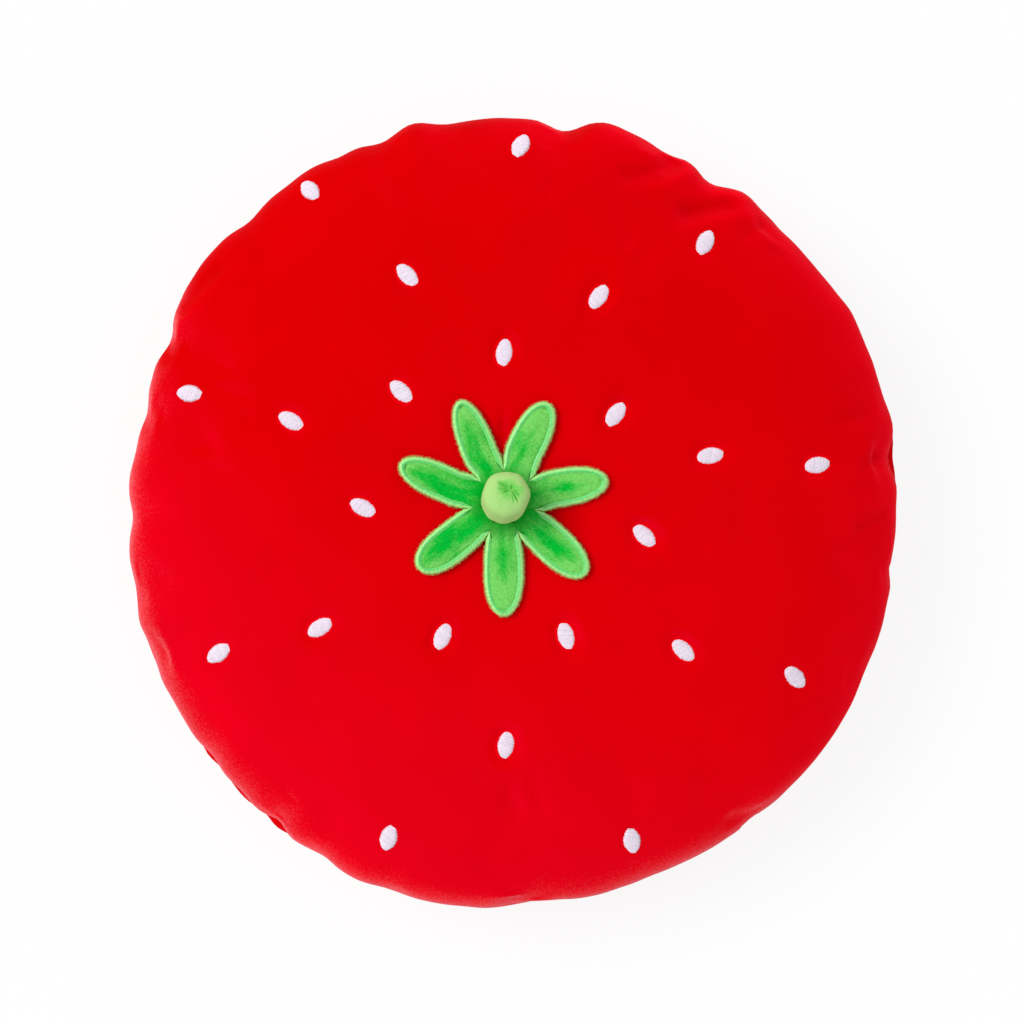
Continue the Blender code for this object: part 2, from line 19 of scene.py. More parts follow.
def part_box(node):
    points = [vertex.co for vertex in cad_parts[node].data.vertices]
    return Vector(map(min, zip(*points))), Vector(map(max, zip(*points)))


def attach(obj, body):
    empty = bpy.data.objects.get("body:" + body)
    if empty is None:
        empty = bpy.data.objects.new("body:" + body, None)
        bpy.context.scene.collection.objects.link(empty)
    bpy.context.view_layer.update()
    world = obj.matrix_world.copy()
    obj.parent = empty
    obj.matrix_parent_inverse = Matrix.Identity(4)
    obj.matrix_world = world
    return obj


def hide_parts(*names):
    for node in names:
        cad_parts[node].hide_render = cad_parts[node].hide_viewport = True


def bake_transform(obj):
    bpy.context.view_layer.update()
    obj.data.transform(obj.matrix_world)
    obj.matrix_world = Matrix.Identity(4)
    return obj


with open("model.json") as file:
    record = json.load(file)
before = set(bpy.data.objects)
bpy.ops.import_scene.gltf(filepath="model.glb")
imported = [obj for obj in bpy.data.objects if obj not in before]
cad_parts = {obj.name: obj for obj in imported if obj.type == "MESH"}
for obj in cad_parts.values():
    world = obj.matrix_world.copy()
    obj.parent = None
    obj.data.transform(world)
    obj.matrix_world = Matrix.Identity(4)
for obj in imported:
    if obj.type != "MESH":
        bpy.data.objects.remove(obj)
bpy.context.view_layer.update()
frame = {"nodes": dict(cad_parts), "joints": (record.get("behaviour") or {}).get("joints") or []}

bl_info = {
    "name": "Strawberry Cushion",
    "version": (1, 0, 0),
    "blender": (4, 5, 0),
    "location": "3D View > Sidebar > Strawberry",
    "description": "Sews the looks of a round plush strawberry cushion over its packed frame",
    "category": "Object",
}

# Places read from the frame
SEAM_LOW, SEAM_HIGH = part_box("rim_seam_thread")
SEAM_HEIGHT = (SEAM_LOW.z + SEAM_HIGH.z) / 2
SEAT_LOW, SEAT_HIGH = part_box("calyx_seat_stitch")
CALYX_CENTRE = np.array((SEAT_LOW + SEAT_HIGH) / 2)[:2]
SEAT_RADIUS = (SEAT_HIGH.x - SEAT_LOW.x) / 2
SEAT_LEVEL = (SEAT_LOW.z + SEAT_HIGH.z) / 2
CALYX_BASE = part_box("calyx_hub_backing")[0].z
CALYX_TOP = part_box("calyx_hub_plush")[1].z
CALYX_MIDDLE = (CALYX_BASE + CALYX_TOP) / 2
JOINTS = {joint["name"]: joint for joint in frame["joints"]}
STEM_PIVOT = np.array(JOINTS["stem_sway"]["pos_m"])
LEAF_COUNT = sum(name.endswith("_lift") for name in JOINTS)
SEED_NODES = sorted(name for name in frame["nodes"] if name.startswith("seed_"))

# Gathers that draw the rim in: heading in degrees, depth
RIM_GATHERS = (
    (4, -0.0010),
    (12.5, -0.0022),
    (31, -0.0011),
    (46, 0.0004),
    (54, -0.0014),
    (59, 0.0044),
    (67, 0.0026),
    (72, 0.0010),
    (78, -0.0006),
    (82, 0.0064),
    (88, 0.0008),
    (100, 0.0012),
    (104, -0.0022),
    (109.5, 0.0026),
    (116, 0.0016),
    (125, 0.0008),
    (132, 0.0022),
    (153.5, 0.0038),
    (159.5, 0.0014),
    (165, 0.0034),
    (170.5, 0.0016),
    (181, 0.0026),
    (191, 0.0010),
    (197, -0.0014),
    (206, -0.0010),
    (222, 0.0008),
    (231, 0.0008),
    (241, 0.0020),
    (252, 0.0014),
    (272, 0.0020),
    (277, 0.0014),
    (308, 0.0008),
    (336, 0.0008),
    (352, 0.0014),
)

# Uneven filling that swells the rim, or leaves it slack: heading in degrees, amount
RIM_SWELLS = (
    (25, 0.0026),
    (76, 0.0022),
    (92, -0.0020),
    (120, 0.0022),
    (142, 0.0032),
    (174, -0.0008),
    (225, 0.0012),
    (250, 0.0026),
    (290, -0.0022),
    (325, 0.0016),
    (340, 0.0010),
)

# Places where the front is tucked in and the back shows past it: heading in degrees, depth, half width
FRONT_TUCKS = (
    (8, 0.0028, 0.0110),
    (219, 0.0023, 0.0085),
    (226, 0.0022, 0.0110),
    (233, 0.0033, 0.0070),
)

# Their depth over their half width also sets the painted shade in each fold and the painted light on each
# ridge
# Soft folds in the front, and ridges beside them: start and end in plan, half width, depth or rise
SOFT_FOLDS = (
    ((0.058, 0.166), (0.081, 0.173), 0.0042, 0.0014),
    ((0.071, 0.160), (0.088, 0.168), 0.0040, -0.0009),
    ((0.086, 0.148), (0.107, 0.153), 0.0042, 0.0024),
    ((0.094, 0.144), (0.120, 0.148), 0.0028, -0.0004),
    ((0.116, 0.138), (0.124, 0.143), 0.0034, 0.0011),
    ((0.129, 0.130), (0.132, 0.129), 0.0036, 0.0008),
    ((0.170, 0.065), (0.177, 0.066), 0.0040, 0.0006),
    ((0.161, 0.045), (0.174, 0.048), 0.0042, 0.0010),
    ((0.175, 0.023), (0.181, 0.027), 0.0026, 0.0010),
    ((0.168, 0.010), (0.176, 0.012), 0.0044, 0.0007),
    ((0.173, -0.008), (0.184, -0.003), 0.0030, 0.0011),
    ((-0.005, 0.035), (-0.005, 0.044), 0.0022, 0.0006),
    ((-0.135, 0.122), (-0.166, 0.093), 0.0030, -0.0006),
    ((-0.146, 0.121), (-0.163, 0.104), 0.0036, 0.0008),
)

# Folds drawn into the stem's end: heading in degrees, start and end from its middle, depth and half width
STEM_FOLDS = (
    (-68, 0.0036, 0.0084, 0.0005, 0.00032),
    (-50, 0.0016, 0.0086, 0.0010, 0.00036),
    (-24, 0.0030, 0.0068, 0.0008, 0.00046),
    (-6, 0.0028, 0.0056, 0.0006, 0.00038),
    (24, 0.0028, 0.0052, 0.0003, 0.00036),
    (50, 0.0026, 0.0052, 0.0003, 0.00036),
    (74, 0.0012, 0.0032, 0.0010, 0.00050),
    (112, 0.0028, 0.0056, 0.0003, 0.00050),
    (138, 0.0030, 0.0084, 0.0009, 0.00120),
    (172, 0.0026, 0.0068, 0.0007, 0.00070),
    (200, 0.0012, 0.0046, 0.0008, 0.00045),
    (240, 0.0026, 0.0048, 0.0003, 0.00040),
    (275, 0.0026, 0.0046, 0.0003, 0.00040),
)

# Headings of the stem's soft corners, in degrees
STEM_CORNERS = (3, 55, 132, 190, 228, 268, 311)

# How each leaf sits: its tip's lift, roll and sideways bend in degrees, depth of creases, lean of nap
LEAF_SITS = (
    (0.0006, 4, -3.4, 0.0005, 0.00),
    (0.0004, -3, -3.0, 0.0003, 0.04),
    (0.0005, 3, -3.2, 0.0008, 0.02),
    (0.0006, -4, -5.0, 0.0009, 0.16),
    (0.0003, -3, 0.0, 0.0007, 0.10),
    (0.0002, 2, 0.0, 0.0005, -0.05),
    (0.0008, 4, -1.5, 0.0008, 0.09),
)

# How each leaf was cut: width, and distance from the calyx's middle to its widest place
LEAF_CUTS = (
    (0.0190, 0.0285),
    (0.0191, 0.0310),
    (0.0178, 0.0275),
    (0.0180, 0.0320),
    (0.0200, 0.0330),
    (0.0199, 0.0335),
    (0.0196, 0.0310),
)

# Height of the cushion's widest line over its seam
BULGE_HEIGHT = 0.0140


def srgb(red, green, blue):
    """Return a linear colour for 8-bit sRGB values."""
    shares = (red / 255, green / 255, blue / 255)
    return tuple(s / 12.92 if s <= 0.04045 else ((s + 0.055) / 1.055) ** 2.4 for s in shares)


def length_setting(name, description, default):
    """Return a property for a length in metres."""
    return FloatProperty(name=name, description=description, default=default, unit="LENGTH", precision=4)


def colour_setting(name, description, default):
    """Return a property for a colour."""
    return FloatVectorProperty(
        name=name, description=description, default=default, subtype="COLOR", size=3, min=0.0, max=1.0
    )


class StageSettings(PropertyGroup):
    """Camera, lamps and floor."""

    camera_height: length_setting("Camera height", "Height of the camera over the floor", 2.2)
    view_width: length_setting("View width", "Width of the picture at the cushion's widest line", 0.512)
    view_level: length_setting(
        "View level", "Height of the cushion's widest line", SEAM_HEIGHT + BULGE_HEIGHT
    )
    key_strength: FloatProperty(name="Key light", description="Strength of the lamp", default=1.7)
    fill_strength: FloatProperty(name="Fill light", description="Strength of the world", default=0.60)
    floor_colour: colour_setting("Floor", "Colour of the floor", srgb(250, 250, 250))


class CoverSettings(PropertyGroup):
    """Velvet cover and its filling."""

    width: length_setting("Width", "Width of the cushion before its gathers", 0.3850)
    length: length_setting("Length", "Length of the cushion before its gathers", 0.3970)
    crown_rise: length_setting("Crown", "Height of the crown over the seam", 0.0620)
    bulge: length_setting("Bulge", "Height of the widest line over the seam", BULGE_HEIGHT)
    draw_in: length_setting("Draw-in", "How far the seam lies inside the widest line", 0.0070)
    rest_radius: length_setting("Resting face", "Radius of the flat on the back", 0.1050)
    thickness: length_setting("Velvet", "Thickness of the velvet", 0.0022)
    # Painted shade and painted light: the velvet's colour runs from shade on one side of the cushion to light
    # on the other
    shade: colour_setting("Shade", "Velvet with its nap turned away", srgb(219, 0, 4))
    light: colour_setting("Light", "Velvet with its nap turned to the light", srgb(228, 0, 10))
    # Painted sheen on the slopes that face the lower left
    side_sheen: colour_setting("Brushed", "Velvet whose nap leans over the edge", srgb(231, 0, 27))
    # Painted light on the rim's slopes that do not face the lamp
    turned: colour_setting("Turned", "Velvet that turns away at the rim", srgb(255, 0, 26))
    seam_shade: colour_setting(
        "Seam shade", "Back's velvet where it runs in under the front", srgb(228, 0, 12)
    )
    # Painted sheen mixed into the velvet's colour where it is seen edge on; also the tint of the shader's own
    # sheen
    sheen: colour_setting("Sheen", "Colour of the pile seen edge on", srgb(255, 112, 120))
    thread: colour_setting("Thread", "Colour of the sewing thread", srgb(190, 4, 14))
    fibre: colour_setting("Filling", "Colour of the fibre filling", srgb(242, 242, 238))


class SeedSettings(PropertyGroup):
    """Embroidered seeds."""

    stitches: IntProperty(name="Stitches", description="Satin stitches in one seed", default=32, min=8)
    thread_width: length_setting("Thread", "Width of the embroidery thread", 0.00056)
    rise: length_setting("Rise", "Height of the stitches over the velvet", 0.0013)
    colour: colour_setting("Thread colour", "Colour of the embroidery thread", srgb(240, 228, 242))


class LeafSettings(PropertyGroup):
    """Leaves of the calyx."""

    valley: length_setting("Valley", "Distance from the calyx's middle to where two leaves part", 0.0205)
    edge_width: length_setting("Edge", "Width of the satin-stitched edge", 0.0038)
    stitch: length_setting("Stitch", "Spacing of the stitches along the edge", 0.00062)
    shade: colour_setting("Shade", "Pile with its nap turned away", srgb(8, 200, 60))
    light: colour_setting("Light", "Pile with its nap turned to the light", srgb(128, 226, 107))
    # Painted shade: the pile round the stem's foot is painted darker, where the stem shades it
    root: colour_setting("Root", "Pile pressed together beside the stem", srgb(2, 160, 34))
    # The edge's pale sides are partly the thread's own colour and partly a painted highlight
    edge_pale: colour_setting("Edge, outside", "Thread at the edge's outside", srgb(176, 251, 140))
    edge_deep: colour_setting("Edge, inside", "Thread at the edge's inside", srgb(72, 224, 104))
    lining: colour_setting("Lining", "Cloth on the leaves' underside", srgb(58, 170, 66))


class StemSettings(PropertyGroup):
    """Stuffed stem."""

    diameter: length_setting("Diameter", "Diameter of the stem", 0.0225)
    tube: length_setting("Tube", "Length of the stem's straight part", 0.0130)
    end_rise: length_setting("End", "Rise of the rounded end", 0.0070)
    side: colour_setting("Side", "Colour of the side", srgb(176, 224, 134))
    end: colour_setting("End colour", "Colour of the gathered end", srgb(124, 218, 98))
    # Painted shade deep in the folds of the end
    crease: colour_setting("Crease", "Colour deep in the folds of the end", srgb(84, 186, 70))


class CushionSettings(PropertyGroup):
    """Everything that can be changed on the cushion."""

    stage: PointerProperty(type=StageSettings)
    cover: PointerProperty(type=CoverSettings)
    seeds: PointerProperty(type=SeedSettings)
    leaves: PointerProperty(type=LeafSettings)
    stem: PointerProperty(type=StemSettings)


# Meshes

EVEN_REACH = 4
TINY = 1e-9
WAVE_SHIFT = (17.3, 5.1, 9.7)


class Patchwork:
    """Strips and tubes of one piece, gathered into one mesh."""

    def __init__(self):
        self.points = []
        self.faces = []
        self.marks = {"stitch": [], "across": [], "along": [], "nap": []}
        self.count = 0

    def loft(self, rings, **marks):
        """Add a closed tube through rings of points, with marks for its material and both ends capped."""
        rings = np.asarray(rings)
        rows, steps, _ = rings.shape
        ends = np.array((rings[0].mean(axis=0), rings[-1].mean(axis=0)))
        self.points.append(np.concatenate((rings.reshape(-1, 3), ends)))
        for name, values in self.marks.items():
            spread = np.broadcast_to(np.asarray(marks.get(name, 0.0), float), (rows, steps)).reshape(-1)
            values.append(np.concatenate((spread, (spread[0], spread[-1]))))
        row, step = np.meshgrid(np.arange(rows - 1), np.arange(steps), indexing="ij")
        near = self.count + row * steps
        following = (step + 1) % steps
        corners = (near + step, near + following, near + steps + following, near + steps + step)
        quads = np.stack(corners, axis=-1)
        self.faces.extend(quads.reshape(-1, 4).tolist())
        first, last = self.count + rows * steps, self.count + rows * steps + 1
        top = self.count + (rows - 1) * steps
        for index in range(steps):
            after = (index + 1) % steps
            self.faces.append((first, self.count + after, self.count + index))
            self.faces.append((last, top + index, top + after))
        self.count += rows * steps + 2

    def sew(self, name, material):
        """Return the piece as a smooth object with its faces pointing out."""
        mesh = bpy.data.meshes.new(name)
        mesh.from_pydata(np.concatenate(self.points).tolist(), [], self.faces)
        sorted_faces = bmesh.new()
        sorted_faces.from_mesh(mesh)
        bmesh.ops.recalc_face_normals(sorted_faces, faces=sorted_faces.faces)
        sorted_faces.to_mesh(mesh)
        sorted_faces.free()
        for mark, values in self.marks.items():
            layer = mesh.attributes.new(mark, "FLOAT", "POINT")
            layer.data.foreach_set("value", np.concatenate(values))
        mesh.shade_smooth()
        mesh.materials.append(material)
        piece = bpy.data.objects.new(name, mesh)
        bpy.context.scene.collection.objects.link(piece)
        return piece


def smooth(low, high, values):
    """Return a smooth step from 0 at low to 1 at high."""
    share = np.clip((values - low) / (high - low), 0.0, 1.0)
    return share * share * (3 - 2 * share)


def unit(vectors):
    """Return vectors scaled to a length of one."""
    return vectors / np.maximum(np.linalg.norm(vectors, axis=-1, keepdims=True), TINY)


def waves(points, size, seed):
    """Return smooth noise from -1 to 1 at points, with waves of about a given size."""
    shift = Vector([seed * step for step in WAVE_SHIFT])
    flat = points.reshape(-1, 3) / size
    values = [noise.noise(Vector(point) + shift) for point in flat.tolist()]
    return np.array(values).reshape(points.shape[:-1])


def headings(steps):
    """Return evenly spaced headings round a circle, in radians."""
    return np.arange(steps) * math.tau / steps


def turn_apart(turns, heading):
    """Return how far turns lie from a heading, the short way round."""
    return np.angle(np.exp(1j * (turns - heading)))


def even_out(values):
    """Return values along a line, each averaged with its neighbours."""
    count = 2 * EVEN_REACH + 1
    return np.convolve(np.pad(values, EVEN_REACH, mode="edge"), np.ones(count) / count, "valid")


def tube_rings(path, radii, sides):
    """Return the rings of a tube along a path."""
    path = np.asarray(path, float)
    radii = np.broadcast_to(np.asarray(radii, float), (len(path),))
    along = unit(np.gradient(path, axis=0))
    up = np.broadcast_to(np.array((0.0, 0.0, 1.0)), along.shape)
    side = unit(np.cross(up, along))
    up = np.cross(along, side)
    turns = headings(sides)
    across = side[:, None] * np.cos(turns)[None, :, None] + up[:, None] * np.sin(turns)[None, :, None]
    return path[:, None] + across * radii[:, None, None]


def resample(path, spacing):
    """Return a path's points at an even spacing."""
    steps = np.linalg.norm(np.diff(path, axis=0), axis=1)
    distances = np.concatenate(((0.0,), np.cumsum(steps)))
    count = max(2, round(distances[-1] / spacing) + 1)
    even = np.linspace(0.0, distances[-1], count)
    columns = [np.interp(even, distances, path[:, axis]) for axis in range(path.shape[1])]
    return np.stack(columns, axis=1)


def stand_in(piece, body, node):
    """Let a piece move with a body in place of its solid."""
    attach(piece, body)
    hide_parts(node)


# Materials

NOISE_BAND = (0.3, 0.7)
VELVET_SCALE = 1500.0
VELVET_DEPTH = 0.0004
LEAF_PILE_SCALE = 950.0
LEAF_PILE_DEPTH = 0.0010
STEM_PILE_SCALE = 1700.0
THREAD_WEAR_SCALE = 700.0
FILAMENT_SCALE = 4200.0
FILAMENT_DEPTH = 0.0001


def start_material(name):
    """Return a new material, its node tree and its shader."""
    material = bpy.data.materials.new(name)
    material.use_nodes = True
    tree = material.node_tree
    return material, tree, tree.nodes["Principled BSDF"]


def add_node(tree, kind, inputs=None, **settings):
    """Add a node, with its settings and the values or links of its inputs."""
    made = tree.nodes.new(kind)
    for key, value in settings.items():
        setattr(made, key, value)
    for key, value in (inputs or {}).items():
        if isinstance(value, bpy.types.NodeSocket):
            tree.links.new(value, made.inputs[key])
        else:
            made.inputs[key].default_value = value
    return made


def mix_colours(tree, factor, first, second, blend="MIX"):
    """Mix two colours, or links to colours, by a link or a share."""
    pick = [(*c, 1.0) if isinstance(c, tuple) else c for c in (first, second)]
    inputs = {0: factor, 6: pick[0], 7: pick[1]}
    mixed = add_node(tree, "ShaderNodeMix", inputs, data_type="RGBA", blend_type=blend)
    return mixed.outputs[2]


def map_range(tree, value, low, high, to_low=0.0, to_high=1.0):
    """Map a value's range onto another."""
    inputs = {"Value": value, "From Min": low, "From Max": high, "To Min": to_low, "To Max": to_high}
    return add_node(tree, "ShaderNodeMapRange", inputs).outputs[0]


def stretch_noise(tree, noise_value, low, high):
    """Map the middle of a noise's range onto another range."""
    return map_range(tree, noise_value, *NOISE_BAND, low, high)


def calculate(tree, operation, first, second):
    """Combine two values."""
    return add_node(tree, "ShaderNodeMath", {0: first, 1: second}, operation=operation).outputs[0]


def noise_node(tree, coordinates, scale, detail=2.0, roughness=0.5):
    """Add noise of a given scale."""
    inputs = {"Vector": coordinates, "Scale": scale, "Detail": detail, "Roughness": roughness}
    return add_node(tree, "ShaderNodeTexNoise", inputs).outputs["Fac"]


def object_coordinates(tree, stretch=None):
    """Return the object's own coordinates, stretched along its axes if wanted."""
    coordinates = add_node(tree, "ShaderNodeTexCoord").outputs["Object"]
    if stretch is None:
        return coordinates
    return add_node(tree, "ShaderNodeMapping", {"Vector": coordinates, "Scale": stretch}).outputs[0]


def mark_value(tree, name):
    """Return a value that the mesh carries at each point."""
    return add_node(tree, "ShaderNodeAttribute", attribute_name=name).outputs["Fac"]


def lay_pile(tree, shader, colour, pile_scale, depth, contrast=0.82):
    """Give a shader the grain of a short pile, in colour, roughness and relief."""
    coordinates = object_coordinates(tree)
    tufts = noise_node(tree, coordinates, pile_scale, 3.0, 0.6)
    specks = map_range(tree, tufts, 0.32, 0.68)
    dark = mix_colours(tree, 1.0, colour, (contrast, contrast, contrast), "MULTIPLY")
    tree.links.new(mix_colours(tree, specks, dark, colour), shader.inputs["Base Color"])
    tree.links.new(stretch_noise(tree, tufts, 0.98, 0.82), shader.inputs["Roughness"])
    relief = add_node(tree, "ShaderNodeBump", {"Height": tufts, "Strength": 0.45, "Distance": depth})
    tree.links.new(relief.outputs[0], shader.inputs["Normal"])


def nap_patches(tree, shade, light, patch_scale):
    """Return a colour that changes in soft patches where the nap lies another way."""
    patches = noise_node(tree, object_coordinates(tree), patch_scale, 2.0, 0.45)
    strokes = noise_node(tree, object_coordinates(tree, (1.0, 0.35, 1.0)), patch_scale * 5, 3.0, 0.5)
    nap = calculate(tree, "ADD", patches, map_range(tree, strokes, 0.0, 1.0, -0.07, 0.07))
    share = map_range(tree, nap, 0.36, 0.62)
    return mix_colours(tree, share, tuple(shade), tuple(light))


def set_sheen(shader, weight, roughness, tint):
    """Make a pile that shines only where it is seen edge on."""
    shader.inputs["Specular IOR Level"].default_value = 0.0
    shader.inputs["Sheen Weight"].default_value = weight
    shader.inputs["Sheen Roughness"].default_value = roughness
    shader.inputs["Sheen Tint"].default_value = (*tint, 1.0)


def lining_cloth(name, colour):
    """Return the plain short-pile cloth under the leaves."""
    material, tree, shader = start_material(name)
    pale = tuple(min(1.0, part * 1.12) for part in colour)
    lay_pile(tree, shader, nap_patches(tree, colour, pale, 60.0), VELVET_SCALE, VELVET_DEPTH)
    set_sheen(shader, 0.2, 0.3, srgb(150, 230, 140))
    return material


# How the cover's colour is painted: painted light and shade across it, painted sheen on its lower left slopes
# and where it is seen edge on, painted light on its rim where it does not face the lamp, and painted shade in
# its folds and at the seam, with random clouds and grain
SIDE_SHEEN_HEADING = math.radians(235)
SIDE_SHEEN_TURN = (0.05, 0.42)
DRIFT_HEADING = math.radians(280)
DRIFT_REACH = 0.12
DRIFT_PATCH = 0.04
DRIFT_SCALE = 9.0
RIM_LIGHT_HEADING = math.radians(337)
RIM_LIGHT_TURN = (-0.45, -0.05)
TILT_RED = (0.03, 0.42)
UNDER_RED = (-0.05, 0.20)
EDGE_ON_PINK = (0.23, 0.82)
PINK_POWER = 1.7
EDGE_SHEEN_OFF_SIDE = 0.04
CLOUD_NAP = 0.16
CLOUD_SCALE = 30.0
FOLD_SHADE_AND_CLOUDS = 0.22
TUFT_LEAN = 0.09
TUFT_SCALE = 850.0
TUFT_PALE = (0.70, 1.20)
CLOUD_STRETCH = (1.0, 0.7, 1.0)
SEAM_SHADE = (1.3, 0.7)
FRONT_SHEEN = 0.55
BACK_SHEEN = 0.05


def level_direction(heading):
    """Return the level direction of a heading in radians."""
    return (math.cos(heading), math.sin(heading), 0.0)


def dot(tree, vector, direction):
    """Return how far a vector points along a direction."""
    node = add_node(tree, "ShaderNodeVectorMath", {0: vector, 1: direction}, operation="DOT_PRODUCT")
    return node.outputs["Value"]


def red_velvet(name, cover, shaded):
    """Return the cover's velvet, with painted light and shade, a painted sheen where it is seen edge on, and
    painted shade at the seam if wanted.
    """
    material, tree, shader = start_material(name)
    coordinates = object_coordinates(tree)
    # Painted light and shade: the colour is lighter towards one side of the cushion, with random patches
    patch = noise_node(tree, coordinates, DRIFT_SCALE, 2.0, 0.45)
    patch = map_range(tree, patch, 0.25, 0.75, -DRIFT_PATCH, DRIFT_PATCH)
    painted_shade_and_patches = calculate(tree, "ADD", dot(tree, coordinates, level_direction(DRIFT_HEADING)), patch)
    share = map_range(tree, painted_shade_and_patches, -DRIFT_REACH, DRIFT_REACH)
    colour = mix_colours(tree, share, tuple(cover.shade), tuple(cover.light))
    normal = add_node(tree, "ShaderNodeTexCoord").outputs["Normal"]
    edge_on = add_node(tree, "ShaderNodeLayerWeight", {"Blend": 0.5}).outputs["Facing"]
    # Painted sheen: the nap share here is how far a slope faces the lower left, and such slopes are painted
    # pinker
    nap = map_range(tree, dot(tree, normal, level_direction(SIDE_SHEEN_HEADING)), *SIDE_SHEEN_TURN, 0.0, 1.0)
    colour = mix_colours(tree, nap, colour, tuple(cover.side_sheen))
    # Painted light: rim slopes above the widest line are painted brighter, except where they face the lamp
    away = map_range(tree, dot(tree, normal, level_direction(RIM_LIGHT_HEADING)), *RIM_LIGHT_TURN, 0.0, 1.0)
    upward = add_node(tree, "ShaderNodeSeparateXYZ", {0: normal}).outputs["Z"]
    tilt = calculate(tree, "SUBTRACT", 1.0, upward)
    away = calculate(tree, "MULTIPLY", away, map_range(tree, tilt, *TILT_RED))
    away = calculate(tree, "MULTIPLY", away, map_range(tree, upward, *UNDER_RED))
    colour = mix_colours(tree, away, colour, tuple(cover.turned))
    # Painted sheen: the colour turns pink where the velvet is seen edge on, broken up by grain, most on the
    # lower left slopes
    grain = noise_node(tree, coordinates, TUFT_SCALE, 2.0, 0.7)
    edge_on = calculate(tree, "ADD", edge_on, stretch_noise(tree, grain, -TUFT_LEAN, TUFT_LEAN))
    edge_sheen = calculate(tree, "POWER", map_range(tree, edge_on, *EDGE_ON_PINK), PINK_POWER)
    edge_sheen = calculate(tree, "MULTIPLY", edge_sheen, stretch_noise(tree, grain, *TUFT_PALE))
    pink = calculate(tree, "MULTIPLY", edge_sheen, map_range(tree, nap, 0.0, 1.0, EDGE_SHEEN_OFF_SIDE, 1.0))
    colour = mix_colours(tree, pink, colour, tuple(cover.sheen))
    if shaded:
        height = add_node(tree, "ShaderNodeSeparateXYZ", {0: coordinates}).outputs["Z"]
        low, high = (SEAM_HEIGHT - cover.bulge * share for share in SEAM_SHADE)
        under = map_range(tree, height, low, high)
        colour = mix_colours(tree, under, colour, tuple(cover.seam_shade))
    # Painted shade in the soft folds, and painted light on their ridges and on the seeds' lips, from the nap
    # mark, with random clouds
    clouds = noise_node(tree, object_coordinates(tree, CLOUD_STRETCH), CLOUD_SCALE, 3.0, 0.55)
    painted_shade_and_patches = calculate(tree, "ADD", mark_value(tree, "nap"), stretch_noise(tree, clouds, CLOUD_NAP, -CLOUD_NAP))
    level = calculate(tree, "SUBTRACT", 1.0, calculate(tree, "MULTIPLY", painted_shade_and_patches, FOLD_SHADE_AND_CLOUDS))
    colour = mix_colours(tree, 1.0, colour, level, "MULTIPLY")
    lay_pile(tree, shader, colour, VELVET_SCALE, VELVET_DEPTH, 0.93)
    set_sheen(shader, BACK_SHEEN if shaded else FRONT_SHEEN, 0.30, cover.sheen)
    return material


def satin_thread(name, colour_link, gloss=0.25, roughness=0.52, contrast=0.84):
    """Return an embroidery thread of a given gloss, coloured by a function of the node tree."""
    material, tree, shader = start_material(name)
    stitch = mark_value(tree, "stitch")
    chance = add_node(tree, "ShaderNodeTexWhiteNoise", {"W": stitch}, noise_dimensions="1D").outputs["Value"]
    coordinates = object_coordinates(tree)
    wear = noise_node(tree, coordinates, THREAD_WEAR_SCALE, 2.0, 0.5)
    colour = colour_link(tree)
    darker = mix_colours(tree, 1.0, colour, (contrast, contrast, contrast), "MULTIPLY")
    chance = calculate(tree, "ADD", stretch_noise(tree, wear, -0.3, 0.5), chance)
    varied = mix_colours(tree, map_range(tree, chance, 0.0, 1.0, 0.15, 1.0), darker, colour)
    tree.links.new(varied, shader.inputs["Base Color"])
    worn = stretch_noise(tree, wear, roughness - 0.1, roughness + 0.1)
    tree.links.new(worn, shader.inputs["Roughness"])
    filaments = noise_node(tree, coordinates, FILAMENT_SCALE, 2.0, 0.6)
    bump = {"Height": filaments, "Strength": 0.3, "Distance": FILAMENT_DEPTH}
    relief = add_node(tree, "ShaderNodeBump", bump)
    tree.links.new(relief.outputs[0], shader.inputs["Normal"])
    shader.inputs["Specular IOR Level"].default_value = gloss
    shader.inputs["Sheen Weight"].default_value = 0.25
    shader.inputs["Sheen Roughness"].default_value = 0.4
    return material


def plain_thread(name, colour):
    """Return a satin thread of one colour."""

    def colour_link(tree):
        wash = noise_node(tree, object_coordinates(tree), 60.0)
        pale = tuple(min(1.0, part * 1.08) for part in colour)
        return mix_colours(tree, wash, tuple(colour), pale)

    return satin_thread(name, colour_link)


def fibre_wad(name, colour):
    """Return loose polyester fibre."""
    material, tree, shader = start_material(name)
    strands = noise_node(tree, object_coordinates(tree, (1.0, 1.0, 3.0)), 400.0, 5.0, 0.7)
    shaded = tuple(part * 0.8 for part in colour)
    tree.links.new(mix_colours(tree, strands, shaded, tuple(colour)), shader.inputs["Base Color"])
    shader.inputs["Roughness"].default_value = 0.95
    relief = add_node(tree, "ShaderNodeBump", {"Height": strands, "Strength": 0.6, "Distance": 0.001})
    tree.links.new(relief.outputs[0], shader.inputs["Normal"])
    return material


# Cover

HEADING_STEPS = 192
CROWN_ROWS = 44
BULGE_ROWS = 8
SIDE_ROWS = 18
REST_ROWS = 9
CROWN_POWER = 2.2
DIMPLE_DEPTH = 0.0030
DIMPLE_RADIUS = 0.0430
GATHER_HALF_WIDTH = 0.0120
GATHER_FADE_POWER = 9
SWELL_HALF_WIDTH = 0.0400
SEAM_ALLOWANCE = 0.0100
SEAM_HALF_GAP = 0.0004
POLE_SHARE = 0.02


def bumps(turns, places, half_width, radius):
    """Return the sum of smooth bumps along the rim at headings in radians."""
    total = np.zeros_like(turns)
    for degrees, size in places:
        apart = turn_apart(turns, math.radians(degrees))
        total += size * np.exp(-((apart * radius / half_width) ** 2))
    return total


def rim_radius(cover):
    """Return the cushion's mean radius."""
    return (cover.width + cover.length) / 4


